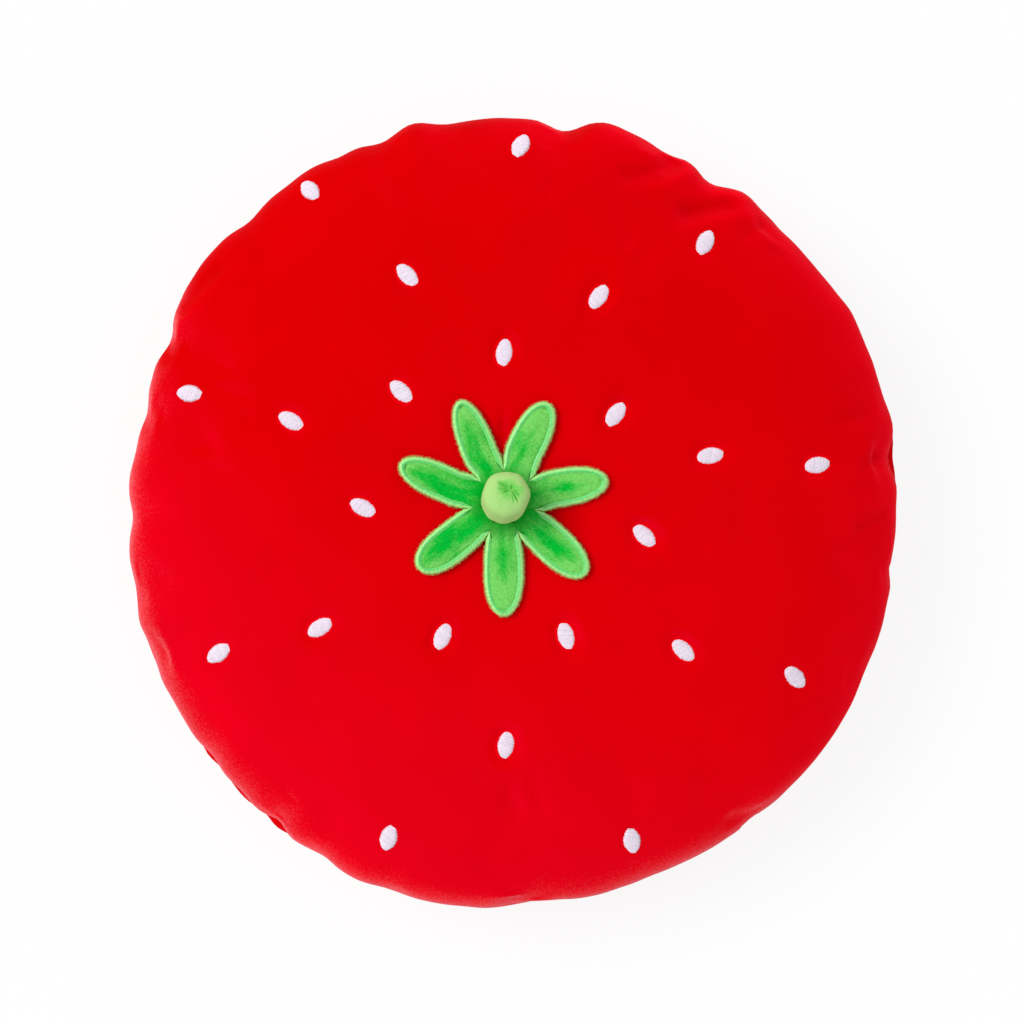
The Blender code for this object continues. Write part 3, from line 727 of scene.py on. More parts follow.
def cover_profile(cover):
    """Return the cover's radii and heights from the front's pole to the back's, and the seam's row."""
    radius = rim_radius(cover)
    widest = SEAM_HEIGHT + cover.bulge
    turn = np.linspace(POLE_SHARE, math.pi / 2, CROWN_ROWS)
    share = np.sin(turn) ** (2 / CROWN_POWER)
    dimple = DIMPLE_DEPTH * np.exp(-((share * radius / DIMPLE_RADIUS) ** 4))
    crown_height = widest + (cover.crown_rise - cover.bulge) * np.cos(turn) - dimple
    crown = np.stack((share * radius, crown_height), axis=1)
    tuck = np.linspace(0.0, math.pi / 2, BULGE_ROWS + 1)[1:]
    under_radius = radius - cover.draw_in * (1 - np.cos(tuck))
    under = np.stack((under_radius, widest - cover.bulge * np.sin(tuck)), axis=1)
    over = under[-2::-1] * (1.0, -1.0) + (0.0, 2 * SEAM_HEIGHT)
    drop = SEAM_HEIGHT - cover.bulge
    side_turn = np.linspace(0.0, math.pi / 2, SIDE_ROWS)
    reach = radius - cover.rest_radius
    side = np.stack((cover.rest_radius + reach * np.cos(side_turn), drop * (1 - np.sin(side_turn))), axis=1)
    rest_radii = cover.rest_radius * np.linspace(1.0, POLE_SHARE, REST_ROWS)[1:]
    rest = np.stack((rest_radii, np.zeros_like(rest_radii)), axis=1)
    seam_row = CROWN_ROWS + BULGE_ROWS - 1
    return np.concatenate((crown, under, over, side, rest)), seam_row


def cover_grid(cover, profile, steps):
    """Return the points of a turned profile with the cushion's gathered outline and its pole at the calyx."""
    radius = rim_radius(cover)
    turns = headings(steps)
    outline = 1 / np.hypot(np.cos(turns) * 2 / cover.width, np.sin(turns) * 2 / cover.length)
    offset = bumps(turns, RIM_SWELLS, SWELL_HALF_WIDTH, radius)
    offset -= bumps(turns, RIM_GATHERS, GATHER_HALF_WIDTH, radius)
    shares = np.minimum(profile[:, :1] / radius, 1.0)
    reach = profile[:, :1] * (outline / radius) * (1 + offset / radius * shares**GATHER_FADE_POWER)
    shift = CALYX_CENTRE[None, :] * (1 - shares**2)
    heights = np.broadcast_to(profile[:, 1:], reach.shape)
    return np.stack(
        (reach * np.cos(turns) + shift[:, :1], reach * np.sin(turns) + shift[:, 1:], heights), axis=-1
    )


def refine(grid):
    """Return a grid with a point put smoothly between each two, round its rows and along its columns."""
    before, after, beyond = np.roll(grid, 1, 1), np.roll(grid, -1, 1), np.roll(grid, -2, 1)
    between = (9 * (grid + after) - before - beyond) / 16
    wide = np.stack((grid, between), axis=2).reshape(grid.shape[0], -1, 3)
    padded = np.concatenate((2 * wide[:1] - wide[1:2], wide, 2 * wide[-1:] - wide[-2:-1]))
    between = (9 * (padded[1:-2] + padded[2:-1]) - padded[:-3] - padded[3:]) / 16
    tall = np.empty((wide.shape[0] * 2 - 1, wide.shape[1], 3))
    tall[::2] = wide
    tall[1::2] = between
    return tall


def grid_normals(grid):
    """Return the outward normals of a grid that runs from the front's pole to the back's."""
    down = np.gradient(grid, axis=0)
    round_it = np.roll(grid, -1, 1) - np.roll(grid, 1, 1)
    return unit(np.cross(down, round_it))


# Seeds


def seed_frames():
    """Return each seed's base, long axis, short axis, normal, half length and half width."""
    frames = []
    for name in SEED_NODES:
        points = np.array([vertex.co for vertex in frame["nodes"][name].data.vertices])
        middle = (points.max(axis=0) + points.min(axis=0)) / 2
        _, _, axes = np.linalg.svd(points - points.mean(axis=0))
        along, normal = axes[0], axes[2] * np.sign(axes[2][2])
        along = along * (1.0 if along @ np.array((*CALYX_CENTRE, 0.0)) < along @ middle else -1.0)
        across = np.cross(normal, along)
        local = np.stack([(points - middle) @ axis for axis in (along, across, normal)], axis=1)
        low, high = local.min(axis=0), local.max(axis=0)
        centre = middle + along * (low[0] + high[0]) / 2 + across * (low[1] + high[1]) / 2 + normal * low[2]
        frames.append((centre, along, across, normal, (high[0] - low[0]) / 2, (high[1] - low[1]) / 2))
    return frames


SEED_SINK = 0.0004
SEED_PRESS = 0.0022
SEED_PRESS_FADE = (0.62, 1.5)
SEED_LENGTH_EASE = 1.05
SEED_WIDTH_EASE = 0.97


def press_seeds(grid):
    """Press the cover down flat under each seed."""
    pressed = grid.copy()
    for centre, along, across, normal, half_length, half_width in seed_frames():
        local = grid - centre
        height = local @ normal
        long_share = local @ along / (half_length + SEED_PRESS)
        reach = np.hypot(long_share, local @ across / (half_width + SEED_PRESS))
        share = (1 - smooth(*SEED_PRESS_FADE, reach)) * (np.abs(height) < half_length)
        pressed += normal * (share * (-SEED_SINK - height))[..., None]
    return pressed


# Cover details

CREASE_HALF_WIDTH = 0.0070
CREASE_SHARE = 0.25
CREASE_LIMIT = 0.0010
PUCKERS = ((61, 0.4, 0.00055), (47, 2.1, 0.00050), (83, 4.4, 0.00035))
PUCKER_DRIFT = 1.3
PUCKER_DRIFTS = 5
PUCKER_HEIGHT = 0.7
PUCKER_FADE = (0.86, 0.93)
CREASE_FADE = (0.88, 0.99)
TUCK_FADE = (0.90, 1.0)
TUCK_PUSH = 0.65
FLOOR_FADE = 0.012
LUMPS = ((0.110, 1, 0.0011), (0.046, 2, 0.0004))


def fold_reach(grid, start, end, half_width):
    """Return 1 along a soft fold's line, fading to 0 beside it."""
    start, end = np.array(start), np.array(end)
    travel = end - start
    share = np.clip((grid[..., :2] - start) @ travel / (travel @ travel), 0.0, 1.0)
    apart = np.linalg.norm(grid[..., :2] - start - share[..., None] * travel, axis=-1)
    return np.exp(-((apart / half_width) ** 2))


def soft_folds(grid):
    """Return how deep the soft folds of the front lie at each point."""
    return sum(depth * fold_reach(grid, start, end, width) for start, end, width, depth in SOFT_FOLDS)


def fold_shade(grid):
    """Return how much painted shade lies in the soft folds, and how much painted light on their ridges."""
    return sum(depth / width * fold_reach(grid, start, end, width) for start, end, width, depth in SOFT_FOLDS)


LIP_HALF_WIDTH = 0.0014
LIP_HEIGHT = 0.0006
LIP_SINK = 0.0005
LIP_DROP = 0.0005
LIP_PAINTED_LIGHT = -0.50
LIP_STEPS = 44
LIP_LEVEL = 0.95
LIP_GAP = 0.0006
LIP_SIDES = 14


def seed_lip(place):
    """Return the rings of the pile that stands up round one seed, and the painted light on its upper side."""
    centre, along, across, normal, half_length, half_width = place
    turn = np.linspace(0.0, math.tau * (1 + 1 / LIP_STEPS), LIP_STEPS + 2)[:, None]
    long = half_length * SEED_LENGTH_EASE + LIP_GAP
    short = half_width * SEED_WIDTH_EASE + LIP_GAP
    line = centre + along * (long * np.cos(turn)) + across * (short * np.sin(turn)) - normal * LIP_SINK
    outward = unit(along * (np.cos(turn) / long) + across * (np.sin(turn) / short))
    section = headings(LIP_SIDES)
    rings = line[:, None] + outward[:, None] * (LIP_HALF_WIDTH * np.cos(section))[None, :, None]
    height = LIP_HEIGHT * np.sin(section) ** 3 - LIP_DROP * np.maximum(np.cos(section), 0.0) ** 2
    rings = rings + normal * height[None, :, None]
    return rings, np.maximum(np.sin(section), 0.0) ** 2 * LIP_PAINTED_LIGHT


def tuck_front(cover, grid, widest_row, seam_row):
    """Draw the front's widest part in, and push the back's out, where the back shows past the front."""
    turns = headings(grid.shape[1])
    reach = np.hypot(grid[..., 0], grid[..., 1])
    rows = np.arange(grid.shape[0])
    front = smooth(seam_row, widest_row, rows) * (rows < seam_row)
    back = smooth(seam_row, 2 * seam_row - widest_row, rows) * (rows > seam_row)
    share = smooth(*TUCK_FADE, reach / reach.max(axis=0)) * (front - TUCK_PUSH * back)[:, None]
    radius = rim_radius(cover)
    draw = sum(bumps(turns, ((heading, depth),), width, radius) for heading, depth, width in FRONT_TUCKS)
    draw = draw * share
    tucked = grid.copy()
    tucked[..., :2] *= (1 - draw / reach)[..., None]
    return tucked


def dress_cover(cover, grid, rows_to_rim):
    """Add the lumps of the filling, the creases of the gathers and the puckers of the seam to the cover."""
    radius = rim_radius(cover)
    turns = headings(grid.shape[1])
    normals = grid_normals(grid)
    share = np.clip(np.hypot(grid[..., 0], grid[..., 1]) / radius, 0.0, 1.0)
    relief = np.zeros(grid.shape[:2])
    for size, seed, amount in LUMPS:
        relief += amount * waves(grid, size, seed)
    creases = [(degrees, min(depth * CREASE_SHARE, CREASE_LIMIT)) for degrees, depth in RIM_GATHERS]
    relief -= bumps(turns, creases, CREASE_HALF_WIDTH, radius) * smooth(*CREASE_FADE, share)
    over_seam = (grid[..., 2] - SEAM_HEIGHT) / (cover.bulge * PUCKER_HEIGHT)
    tight = np.exp(-(over_seam**2)) * smooth(*PUCKER_FADE, share)
    for count, phase, amount in PUCKERS:
        drift = PUCKER_DRIFT * np.sin(turns * PUCKER_DRIFTS + phase)
        relief += amount * tight * np.cos(turns * count + phase + drift)
    relief *= smooth(0.0, FLOOR_FADE, grid[..., 2])
    relief[:rows_to_rim] *= 1 - np.exp(-((share[:rows_to_rim] * radius / DIMPLE_RADIUS) ** 4))
    relief[:rows_to_rim] -= soft_folds(grid[:rows_to_rim])
    dressed = grid + normals * relief[..., None]
    dressed[..., 2] = np.maximum(dressed[..., 2], 0.0)
    return dressed


SWELL_START = 0.0004
SWELL_FRAMES = 20
SWELL_LIMIT = 0.0060
SINK_LIMIT = 0.0012
FIRM_GATHER = 0.003
PIN_HALF_WIDTH = 0.0035
PIN_FADE = (0.90, 0.97)
PIN_SEAT = 1.6
CLOTH = {
    "quality": 5,
    "mass": 0.3,
    "tension_stiffness": 25.0,
    "compression_stiffness": 25.0,
    "shear_stiffness": 8.0,
    "bending_stiffness": 2.0,
    "use_pressure": True,
    "uniform_pressure_force": 4.0,
    "vertex_group_mass": "held",
}


def pinned_weights(cover, grid, seam_row):
    """Return how firmly the cover is held at each point: seam, gathers, calyx and floor."""
    radius = rim_radius(cover)
    flat = np.hypot(grid[..., 0], grid[..., 1])
    deep = [(degrees, min(depth / FIRM_GATHER, 1.0)) for degrees, depth in RIM_GATHERS]
    gathers = bumps(headings(grid.shape[1]), deep, PIN_HALF_WIDTH, radius)
    held = np.maximum(gathers * smooth(*PIN_FADE, flat / radius), 0.0)
    held[seam_row] = 1.0
    middle = CROWN_ROWS // 4
    held[:middle][flat[:middle] < SEAT_RADIUS * PIN_SEAT] = 1.0
    held[-REST_ROWS - 2 :] = 1.0
    return np.clip(held, 0.0, 1.0)


def swell(cover, grid, seam_row):
    """Blow the sewn cover up from the inside with a cloth simulation and return its points."""
    rows, steps, _ = grid.shape
    start = grid - grid_normals(grid) * SWELL_START
    held = pinned_weights(cover, grid, seam_row)
    start = grid + (start - grid) * (1 - held)[..., None]
    sewn = Patchwork()
    sewn.loft(start)
    balloon = sewn.sew("cover_swelling", None)
    group = balloon.vertex_groups.new(name="held")
    weights = np.append(held.reshape(-1), (1.0, 1.0))
    for index, weight in enumerate(weights.tolist()):
        group.add((index,), weight, "REPLACE")
    cloth = balloon.modifiers.new("Swell", "CLOTH")
    for key, value in CLOTH.items():
        setattr(cloth.settings, key, value)
    cloth.settings.effector_weights.gravity = 0.0
    cloth.point_cache.frame_start = 1
    cloth.point_cache.frame_end = SWELL_FRAMES
    scene = bpy.context.scene
    for number in range(1, SWELL_FRAMES + 1):
        scene.frame_set(number)
    graph = bpy.context.evaluated_depsgraph_get()
    blown = balloon.evaluated_get(graph).to_mesh()
    points = np.empty(len(blown.vertices) * 3)
    blown.vertices.foreach_get("co", points)
    points = points.reshape(-1, 3)[: rows * steps].reshape(rows, steps, 3)
    scene.frame_set(1)
    bpy.data.objects.remove(balloon, do_unlink=True)
    return keep_outline(grid, points - grid)


def keep_outline(grid, move):
    """Return a grid after a limited move that leaves its outline in plan as it was."""
    normals = grid_normals(grid)
    out = (move * normals).sum(axis=-1, keepdims=True)
    aside = move - normals * out
    slide = np.linalg.norm(aside, axis=-1, keepdims=True)
    aside = aside * np.minimum(1.0, SWELL_LIMIT / 2 / np.maximum(slide, TINY))
    moved = grid + normals * np.clip(out, -SINK_LIMIT, SWELL_LIMIT) + aside
    reach = np.hypot(grid[..., 0], grid[..., 1])
    widest = reach.max(axis=0)
    stretch = widest / np.hypot(moved[..., 0], moved[..., 1]).max(axis=0) - 1
    moved[..., :2] *= (1 + stretch * (reach / widest) ** GATHER_FADE_POWER)[..., None]
    return moved


INNER_ROWS = 6
INNER_START = -4
ALLOWANCE_ROOT = 0.25


def panel_rings(grid, normals, side, thickness):
    """Return one panel's rings: its outer face to the seam, the turned-in allowance and its inner face."""
    outer = grid.copy()
    outer[-1, :, 2] = SEAM_HEIGHT + side * SEAM_HALF_GAP
    plan = outer[-1, :, :2] - outer[-1, :, :2].mean(axis=0)
    inward = -unit(plan) * SEAM_ALLOWANCE
    edge = outer[-1].copy()
    edge[:, :2] += inward
    lifted = edge.copy()
    lifted[:, 2] += side * thickness
    root = outer[-1].copy()
    root[:, :2] += inward * ALLOWANCE_ROOT
    root[:, 2] += side * thickness
    inner = (grid - normals * thickness)[INNER_START:0:-INNER_ROWS]
    return np.concatenate((outer, edge[None], lifted[None], root[None], inner))


class STRAWBERRY_OT_cover(Operator):
    """Sew the velvet front and back, swollen by their filling and drawn in at the rim"""

    bl_idname = "strawberry.cover"
    bl_label = "Cover"

    def execute(self, context):
        cover = context.scene.strawberry.cover
        profile, seam_row = cover_profile(cover)
        grid = cover_grid(cover, profile, HEADING_STEPS)
        grid = swell(cover, grid, seam_row)
        fine = tuck_front(cover, refine(grid), CROWN_ROWS * 2 - 2, seam_row * 2)
        fine = press_seeds(dress_cover(cover, fine, seam_row * 2))
        normals = grid_normals(fine)
        front_red = red_velvet("front_velvet_pile", cover, False)
        back_red = red_velvet("back_velvet_pile", cover, True)
        row = seam_row * 2
        front = Patchwork()
        rings = panel_rings(fine[: row + 1], normals[: row + 1], 1, cover.thickness)
        # The nap mark carries the painted shade of the soft folds and the painted light of the seeds' lips
        nap = np.zeros(rings.shape[:2])
        nap[: row + 1] = fold_shade(fine[: row + 1])
        front.loft(rings, nap=nap)
        for place in seed_frames():
            if place[3][2] > LIP_LEVEL:
                lip, lip_light = seed_lip(place)
                front.loft(lip, nap=lip_light)
        back = Patchwork()
        back.loft(panel_rings(fine[row:][::-1], normals[row:][::-1], -1, cover.thickness))
        for name, node, patchwork, red in (
            ("front_cover", "front_panel", front, front_red),
            ("back_cover", "back_panel", back, back_red),
        ):
            stand_in(patchwork.sew(name, red), "cushion", node)
        return {"FINISHED"}


FILLING_INSET = 0.0095
FILLING_LUMP = 0.0016
FILLING_WAVE = 0.018
FILLING_SEED = 4
FILLING_DRAWN = 0.006
FILLING_FADE = (0.85, 0.93)


class STRAWBERRY_OT_filling(Operator):
    """Stuff the cushion with a lumpy wad of fibre"""

    bl_idname = "strawberry.filling"
    bl_label = "Filling"

    def execute(self, context):
        cover = context.scene.strawberry.cover
        profile, _ = cover_profile(cover)
        grid = cover_grid(cover, profile, HEADING_STEPS // 2)
        inset = FILLING_INSET + FILLING_LUMP * waves(grid, FILLING_WAVE, FILLING_SEED)
        near_seam = np.exp(-(((grid[..., 2] - SEAM_HEIGHT) / FILLING_DRAWN) ** 2))
        rim_share = smooth(*FILLING_FADE, np.hypot(grid[..., 0], grid[..., 1]) / rim_radius(cover))
        inset = inset + near_seam * rim_share * SEAM_ALLOWANCE
        wad = Patchwork()
        wad.loft(grid - grid_normals(grid) * inset[..., None])
        piece = wad.sew("filling_wad", fibre_wad("polyester_wad", cover.fibre))
        stand_in(piece, "cushion", "fibre_filling")
        return {"FINISHED"}


STITCH_LENGTH = 0.0032
STITCH_RADIUS = 0.00025
STITCH_SIDES = 6
STITCH_POINTS = 7
SEAM_POINTS = 6
STITCH_ARCH = 0.5
STITCH_SPAN = (0.06, 0.94)


class STRAWBERRY_OT_seam(Operator):
    """Stitch the rim by machine and close the filling gap by hand"""

    bl_idname = "strawberry.seam"
    bl_label = "Seam"

    def execute(self, context):
        cover = context.scene.strawberry.cover
        red = plain_thread("red_sewing_thread", cover.thread)
        for name, node, length in (
            ("rim_stitches", "rim_seam_thread", STITCH_LENGTH),
            ("closing_stitches", "closing_stitch", STITCH_LENGTH * 2),
        ):
            points = np.array([vertex.co for vertex in frame["nodes"][node].data.vertices])
            turns = np.mod(np.arctan2(points[:, 1], points[:, 0]) + math.pi / 2, math.tau) - math.pi / 2
            if node == "closing_stitch":
                turns = np.arctan2(points[:, 0], -points[:, 1])
            order = np.argsort(turns)
            reach = np.hypot(points[:, 0], points[:, 1])[order]
            turns = turns[order]
            span = np.arange(turns[0], turns[-1], length / reach.mean())
            radii = np.interp(span, turns, even_out(reach))
            rows = Patchwork()
            for index in range(len(span) - 1):
                share = np.linspace(*STITCH_SPAN, SEAM_POINTS)
                turn = span[index] + (span[index + 1] - span[index]) * share
                radius = radii[index] + (radii[index + 1] - radii[index]) * share
                if node == "closing_stitch":
                    turn = turn - math.pi / 2
                height = SEAM_HEIGHT + STITCH_RADIUS * STITCH_ARCH * np.sin(share * math.pi)
                path = np.stack((radius * np.cos(turn), radius * np.sin(turn), height), axis=1)
                rows.loft(tube_rings(path, STITCH_RADIUS, STITCH_SIDES), stitch=index)
            stand_in(rows.sew(name, red), "cushion", node)
        return {"FINISHED"}


SEED_SLANT = 0.30
SEED_INNER_END = 0.26
SEED_OUTER_END = 0.10
SEED_JITTER = 0.06
SEED_ARCH_STEPS = 11
SEED_PAD_ROWS = 15
SEED_PAD_SIDES = 16
SEED_PAD_REACH = 0.96
SEED_PAD_LENGTH = 0.97
SEED_PAD_WIDTH = 0.9
SEED_PAD_RISE = 0.85
SEED_DRIFT = 0.00006
SEED_UNEVEN = 0.00005
SEED_OVERHANG = 0.2
SEED_TAPER_POWER = 0.8
SEED_ARCH_POWER = 0.8
SEED_SOLVE_STEPS = 6
SEED_LAY = 1.5
SEED_MARK = 100


def seed_half_width(half_width, share):
    """Return half a seed's width at a share of its half length, blunt inwards and pointed outwards."""
    share = min(max(share, -1.0), 1.0)
    end = SEED_INNER_END if share < 0 else SEED_OUTER_END
    return half_width * (end + (1 - end) * (1 - share * share) ** SEED_TAPER_POWER)


class STRAWBERRY_OT_seeds(Operator):
    """Embroider the seeds, each a row of satin stitches over a low pad"""

    bl_idname = "strawberry.seeds"
    bl_label = "Seeds"

    def execute(self, context):
        seeds = context.scene.strawberry.seeds
        white = plain_thread("seed_satin_thread", seeds.colour)
        for number, place in enumerate(seed_frames(), 1):
            piece = self.embroider(seeds, number, place, white)
            stand_in(piece, "cushion", SEED_NODES[number - 1])
        return {"FINISHED"}

    def embroider(self, seeds, number, place, material):
        """Return one seed."""
        centre, along, across, normal, half_length, half_width = place
        half_length *= SEED_LENGTH_EASE
        half_width *= SEED_WIDTH_EASE
        chance = random.Random(number)
        rise = seeds.rise
        arch = np.linspace(-1.0, 1.0, SEED_ARCH_STEPS)
        work = Patchwork()
        pad_rows = []
        ring_turn = headings(SEED_PAD_SIDES)
        for share in np.linspace(-SEED_PAD_REACH, SEED_PAD_REACH, SEED_PAD_ROWS):
            half = seed_half_width(half_width, share) * SEED_PAD_WIDTH
            height = -SEED_SINK + np.maximum(np.sin(ring_turn), 0.0) * rise * (1 - share**4) * SEED_PAD_RISE
            ring = centre + along * (share * half_length * SEED_PAD_LENGTH)
            pad_rows.append(ring + across * (half * np.cos(ring_turn))[:, None] + normal * height[:, None])
        work.loft(pad_rows, stitch=0.5)
        slope = SEED_SLANT / half_length
        for index in range(seeds.stitches):
            share = -1 + 2 * (index + 0.5) / seeds.stitches
            ends = []
            for side in (-1, 1):
                half = half_width / 2
                for _ in range(SEED_SOLVE_STEPS):
                    half = (half + seed_half_width(half_width, share + side * half * slope)) / 2
                jitter = 1 + chance.uniform(-SEED_JITTER, SEED_JITTER)
                ends.append(half * jitter + seeds.thread_width * SEED_OVERHANG)
            sideways = np.where(arch < 0, arch * ends[0], arch * ends[1])
            drift = share * half_length + sideways * SEED_SLANT + chance.uniform(-1, 1) * SEED_DRIFT
            top = rise * (1 - share**4) * np.sqrt(np.maximum(1 - arch**2, 0.0)) ** SEED_ARCH_POWER
            height = top - SEED_SINK * SEED_LAY + chance.uniform(-1, 1) * SEED_UNEVEN
            path = centre + along * drift[:, None] + across * sideways[:, None] + normal * height[:, None]
            work.loft(self.strand(path, along, seeds.thread_width / 2), stitch=index + number * SEED_MARK)
        return work.sew(f"seed_stitches_{number:02d}", material)

    def strand(self, path, side, radius):
        """Return the rings of one thread whose cross-sections stand across the seed's length."""
        travel = unit(np.gradient(path, axis=0))
        lift = unit(np.cross(travel, side))
        turns = headings(STITCH_SIDES)
        offsets = side * np.cos(turns)[:, None]
        return path[:, None] + (offsets[None] + lift[:, None] * np.sin(turns)[None, :, None]) * radius


# Calyx

LEAF_START = 0.0100
LEAF_COLLAR = 0.0034
FOLD_START = 0.0200
FOLD_END = 0.0260
LEAF_ROWS = 56
LEAF_SECTION = 28
LEAF_TIP_POWER = 2.5
EDGE_TUCK = 0.22
EDGE_ROOT = 0.06
ROOT_OVERLAP = 0.0003
BEND_MIDDLE = 0.0360
FREE_START = 0.0075
FREE_END = 0.002
LEAF_RISE = 0.0012
LEAF_RISE_POWER = 1.5
BEND_EASE = 0.002
COLLAR_FADE = (0.0185, 0.0110)
ROLL_LENGTH = 0.012
LEAF_LEAST = 0.00012


class Leaf:
    """Outline and place of one leaf of the calyx, with x from the calyx's middle along the leaf."""

    def __init__(self, leaves, number):
        joint = JOINTS[f"leaf_{number}_lift"]
        self.number = number
        self.body = joint["child"]
        self.heading = leaf_heading(number)
        self.hinge = np.array(joint["pos_m"])
        self.direction = np.array((math.cos(self.heading), math.sin(self.heading)))
        border = frame["nodes"][f"leaf_{number}_border"].data.vertices
        self.reach = max((np.array(v.co)[:2] - CALYX_CENTRE) @ self.direction for v in border)
        width, self.widest = LEAF_CUTS[number - 1]
        self.half_width = width / 2
        self.valley = leaves.valley
        self.edge = leaves.edge_width
        following = leaf_heading(number % LEAF_COUNT + 1)
        previous = leaf_heading((number - 2) % LEAF_COUNT + 1)
        self.half_gaps = {
            1: math.remainder(following - self.heading, math.tau) % math.tau / 2,
            -1: math.remainder(self.heading - previous, math.tau) % math.tau / 2,
        }
        self.lift, self.roll, bend, self.crease, self.nap = LEAF_SITS[number - 1]
        self.bend = math.tan(math.radians(bend))

    def half(self, x, side):
        """Return half the leaf's width at distances from the middle, on its left (1) or right (-1)."""
        gap = self.half_gaps[side]
        parting = self.valley * math.cos(gap)
        root = self.valley * math.sin(gap)
        inside = x * math.tan(gap)
        share = np.clip((x - parting) / (self.widest - parting), 0.0, 1.0)
        free = root + (self.half_width - root) * (1 - (1 - share) ** 2)
        tip = np.clip((x - self.widest) / (self.reach - self.widest), 0.0, 1.0)
        rounded = self.half_width * np.sqrt(np.maximum(1 - tip**LEAF_TIP_POWER, 0.0))
        return np.where(x < parting, inside, np.where(x < self.widest, free, rounded))

    def edge_radius(self, x):
        """Return the radius of the satin edge, which thins out towards the stem."""
        return self.edge / 2 * (EDGE_ROOT + (1 - EDGE_ROOT) * self.freedom(x))

    def freedom(self, x):
        """Return 0 near the stem, where the leaves are one cloth, and 1 past the valleys between them."""
        return smooth(self.valley - FREE_START, self.valley - FREE_END, x)

    def level(self, x, y):
        """Return the height of the leaf's middle layer."""
        along = np.clip((x - FOLD_START) / (self.reach - FOLD_START), 0.0, 1.0)
        rise = (LEAF_RISE + self.lift) * along**LEAF_RISE_POWER
        collar = LEAF_COLLAR * smooth(*COLLAR_FADE, x)
        roll = math.tan(math.radians(self.roll)) * y * smooth(FOLD_START, FOLD_START + ROLL_LENGTH, x)
        return CALYX_MIDDLE + rise + collar + np.maximum(roll, 0.0)

    def to_frame(self, x, y, z):
        """Return points of the frame for points of the leaf."""
        cosine, sine = self.direction
        y = y + self.bend * (x - BEND_MIDDLE) * smooth(FOLD_START - BEND_EASE, FOLD_END, x)
        return np.stack(
            (CALYX_CENTRE[0] + x * cosine - y * sine, CALYX_CENTRE[1] + x * sine + y * cosine, z), axis=-1
        )


def leaf_heading(number):
    """Return a leaf's heading in radians, from the axis that it folds on."""
    axis = JOINTS[f"leaf_{number}_lift"]["axis"]
    return math.atan2(axis[0], -axis[1])


def leaf_rows(leaf, tip_inset):
    """Return distances along a leaf, closer together at its rounded tip."""
    turn = np.linspace(0.0, math.pi / 2, LEAF_ROWS)
    return LEAF_START + (leaf.reach - tip_inset - LEAF_START) * np.sin(turn)


def leaf_layer(leaf, tuck, top, bottom):
    """Return the rings of one cloth layer of a leaf, and how far across and along it each point is."""
    cover = 2 * (1 - tuck)
    tip_inset = leaf.edge / 2 * cover
    x = leaf_rows(leaf, tip_inset)
    tip_share = np.clip((x - leaf.widest) / (leaf.reach - tip_inset - leaf.widest), 0.0, 1.0)
    inset = leaf.edge_radius(x) * cover - ROOT_OVERLAP * (1 - leaf.freedom(x))
    limits = []
    for side in (1, -1):
        free = leaf.half(np.minimum(x, leaf.widest), side) - inset
        rounded = free * np.sqrt(np.maximum(1 - tip_share**LEAF_TIP_POWER, 0.0))
        limits.append(np.maximum(rounded, LEAF_LEAST))
    turn = (np.arange(LEAF_SECTION) + 0.5) * math.tau / LEAF_SECTION
    side_share = np.cos(turn)[None, :]
    y = np.where(side_share > 0, limits[0][:, None], limits[1][:, None]) * side_share
    x = np.broadcast_to(x[:, None], y.shape)
    upper = np.sin(turn)[None, :] > 0
    z = leaf.level(x, y) + np.where(upper, top(x, y, side_share), bottom(x, y, side_share))
    along = (x - LEAF_START) / (leaf.reach - LEAF_START)
    return leaf.to_frame(x, y, z), y / leaf.half_width, along


PILE_CROWN = 0.0020
PILE_CROWN_POWER = 0.6
PILE_SIDE_POWER = 3
PILE_TIP_POWER = 5
PILE_SIDE = 0.0008
CREASE_WIDTH = 0.0016
CREASE_SPAN = (0.040, 0.022)
SIDE_FOLD = 0.7
SIDE_FOLD_PLACE = 0.0042
SIDE_FOLD_WIDTH = 0.0012
SIDE_FOLD_SPAN = (0.034, 0.020)


def leaf_pile_top(leaf):
    """Return the function for the upper face of a leaf's pile."""

    def top(x, y, side_share):
        tip = np.clip((x - leaf.widest) / (leaf.reach - leaf.edge - leaf.widest), 0.0, 1.0)
        crown = np.maximum(1 - np.abs(side_share) ** PILE_SIDE_POWER, 0.0) ** PILE_CROWN_POWER
        crown = crown * np.sqrt(np.maximum(1 - tip**PILE_TIP_POWER, 0.0))
        crease = leaf.crease * np.exp(-((y / CREASE_WIDTH) ** 2)) * smooth(*CREASE_SPAN, x)
        beside = (np.abs(y) - SIDE_FOLD_PLACE) / SIDE_FOLD_WIDTH
        fold = leaf.crease * SIDE_FOLD * np.exp(-(beside**2)) * smooth(*SIDE_FOLD_SPAN, x)
        side = PILE_SIDE + PILE_SIDE * (1 - leaf.freedom(x))
        return side + (PILE_CROWN - side) * crown - crease - fold

    return top


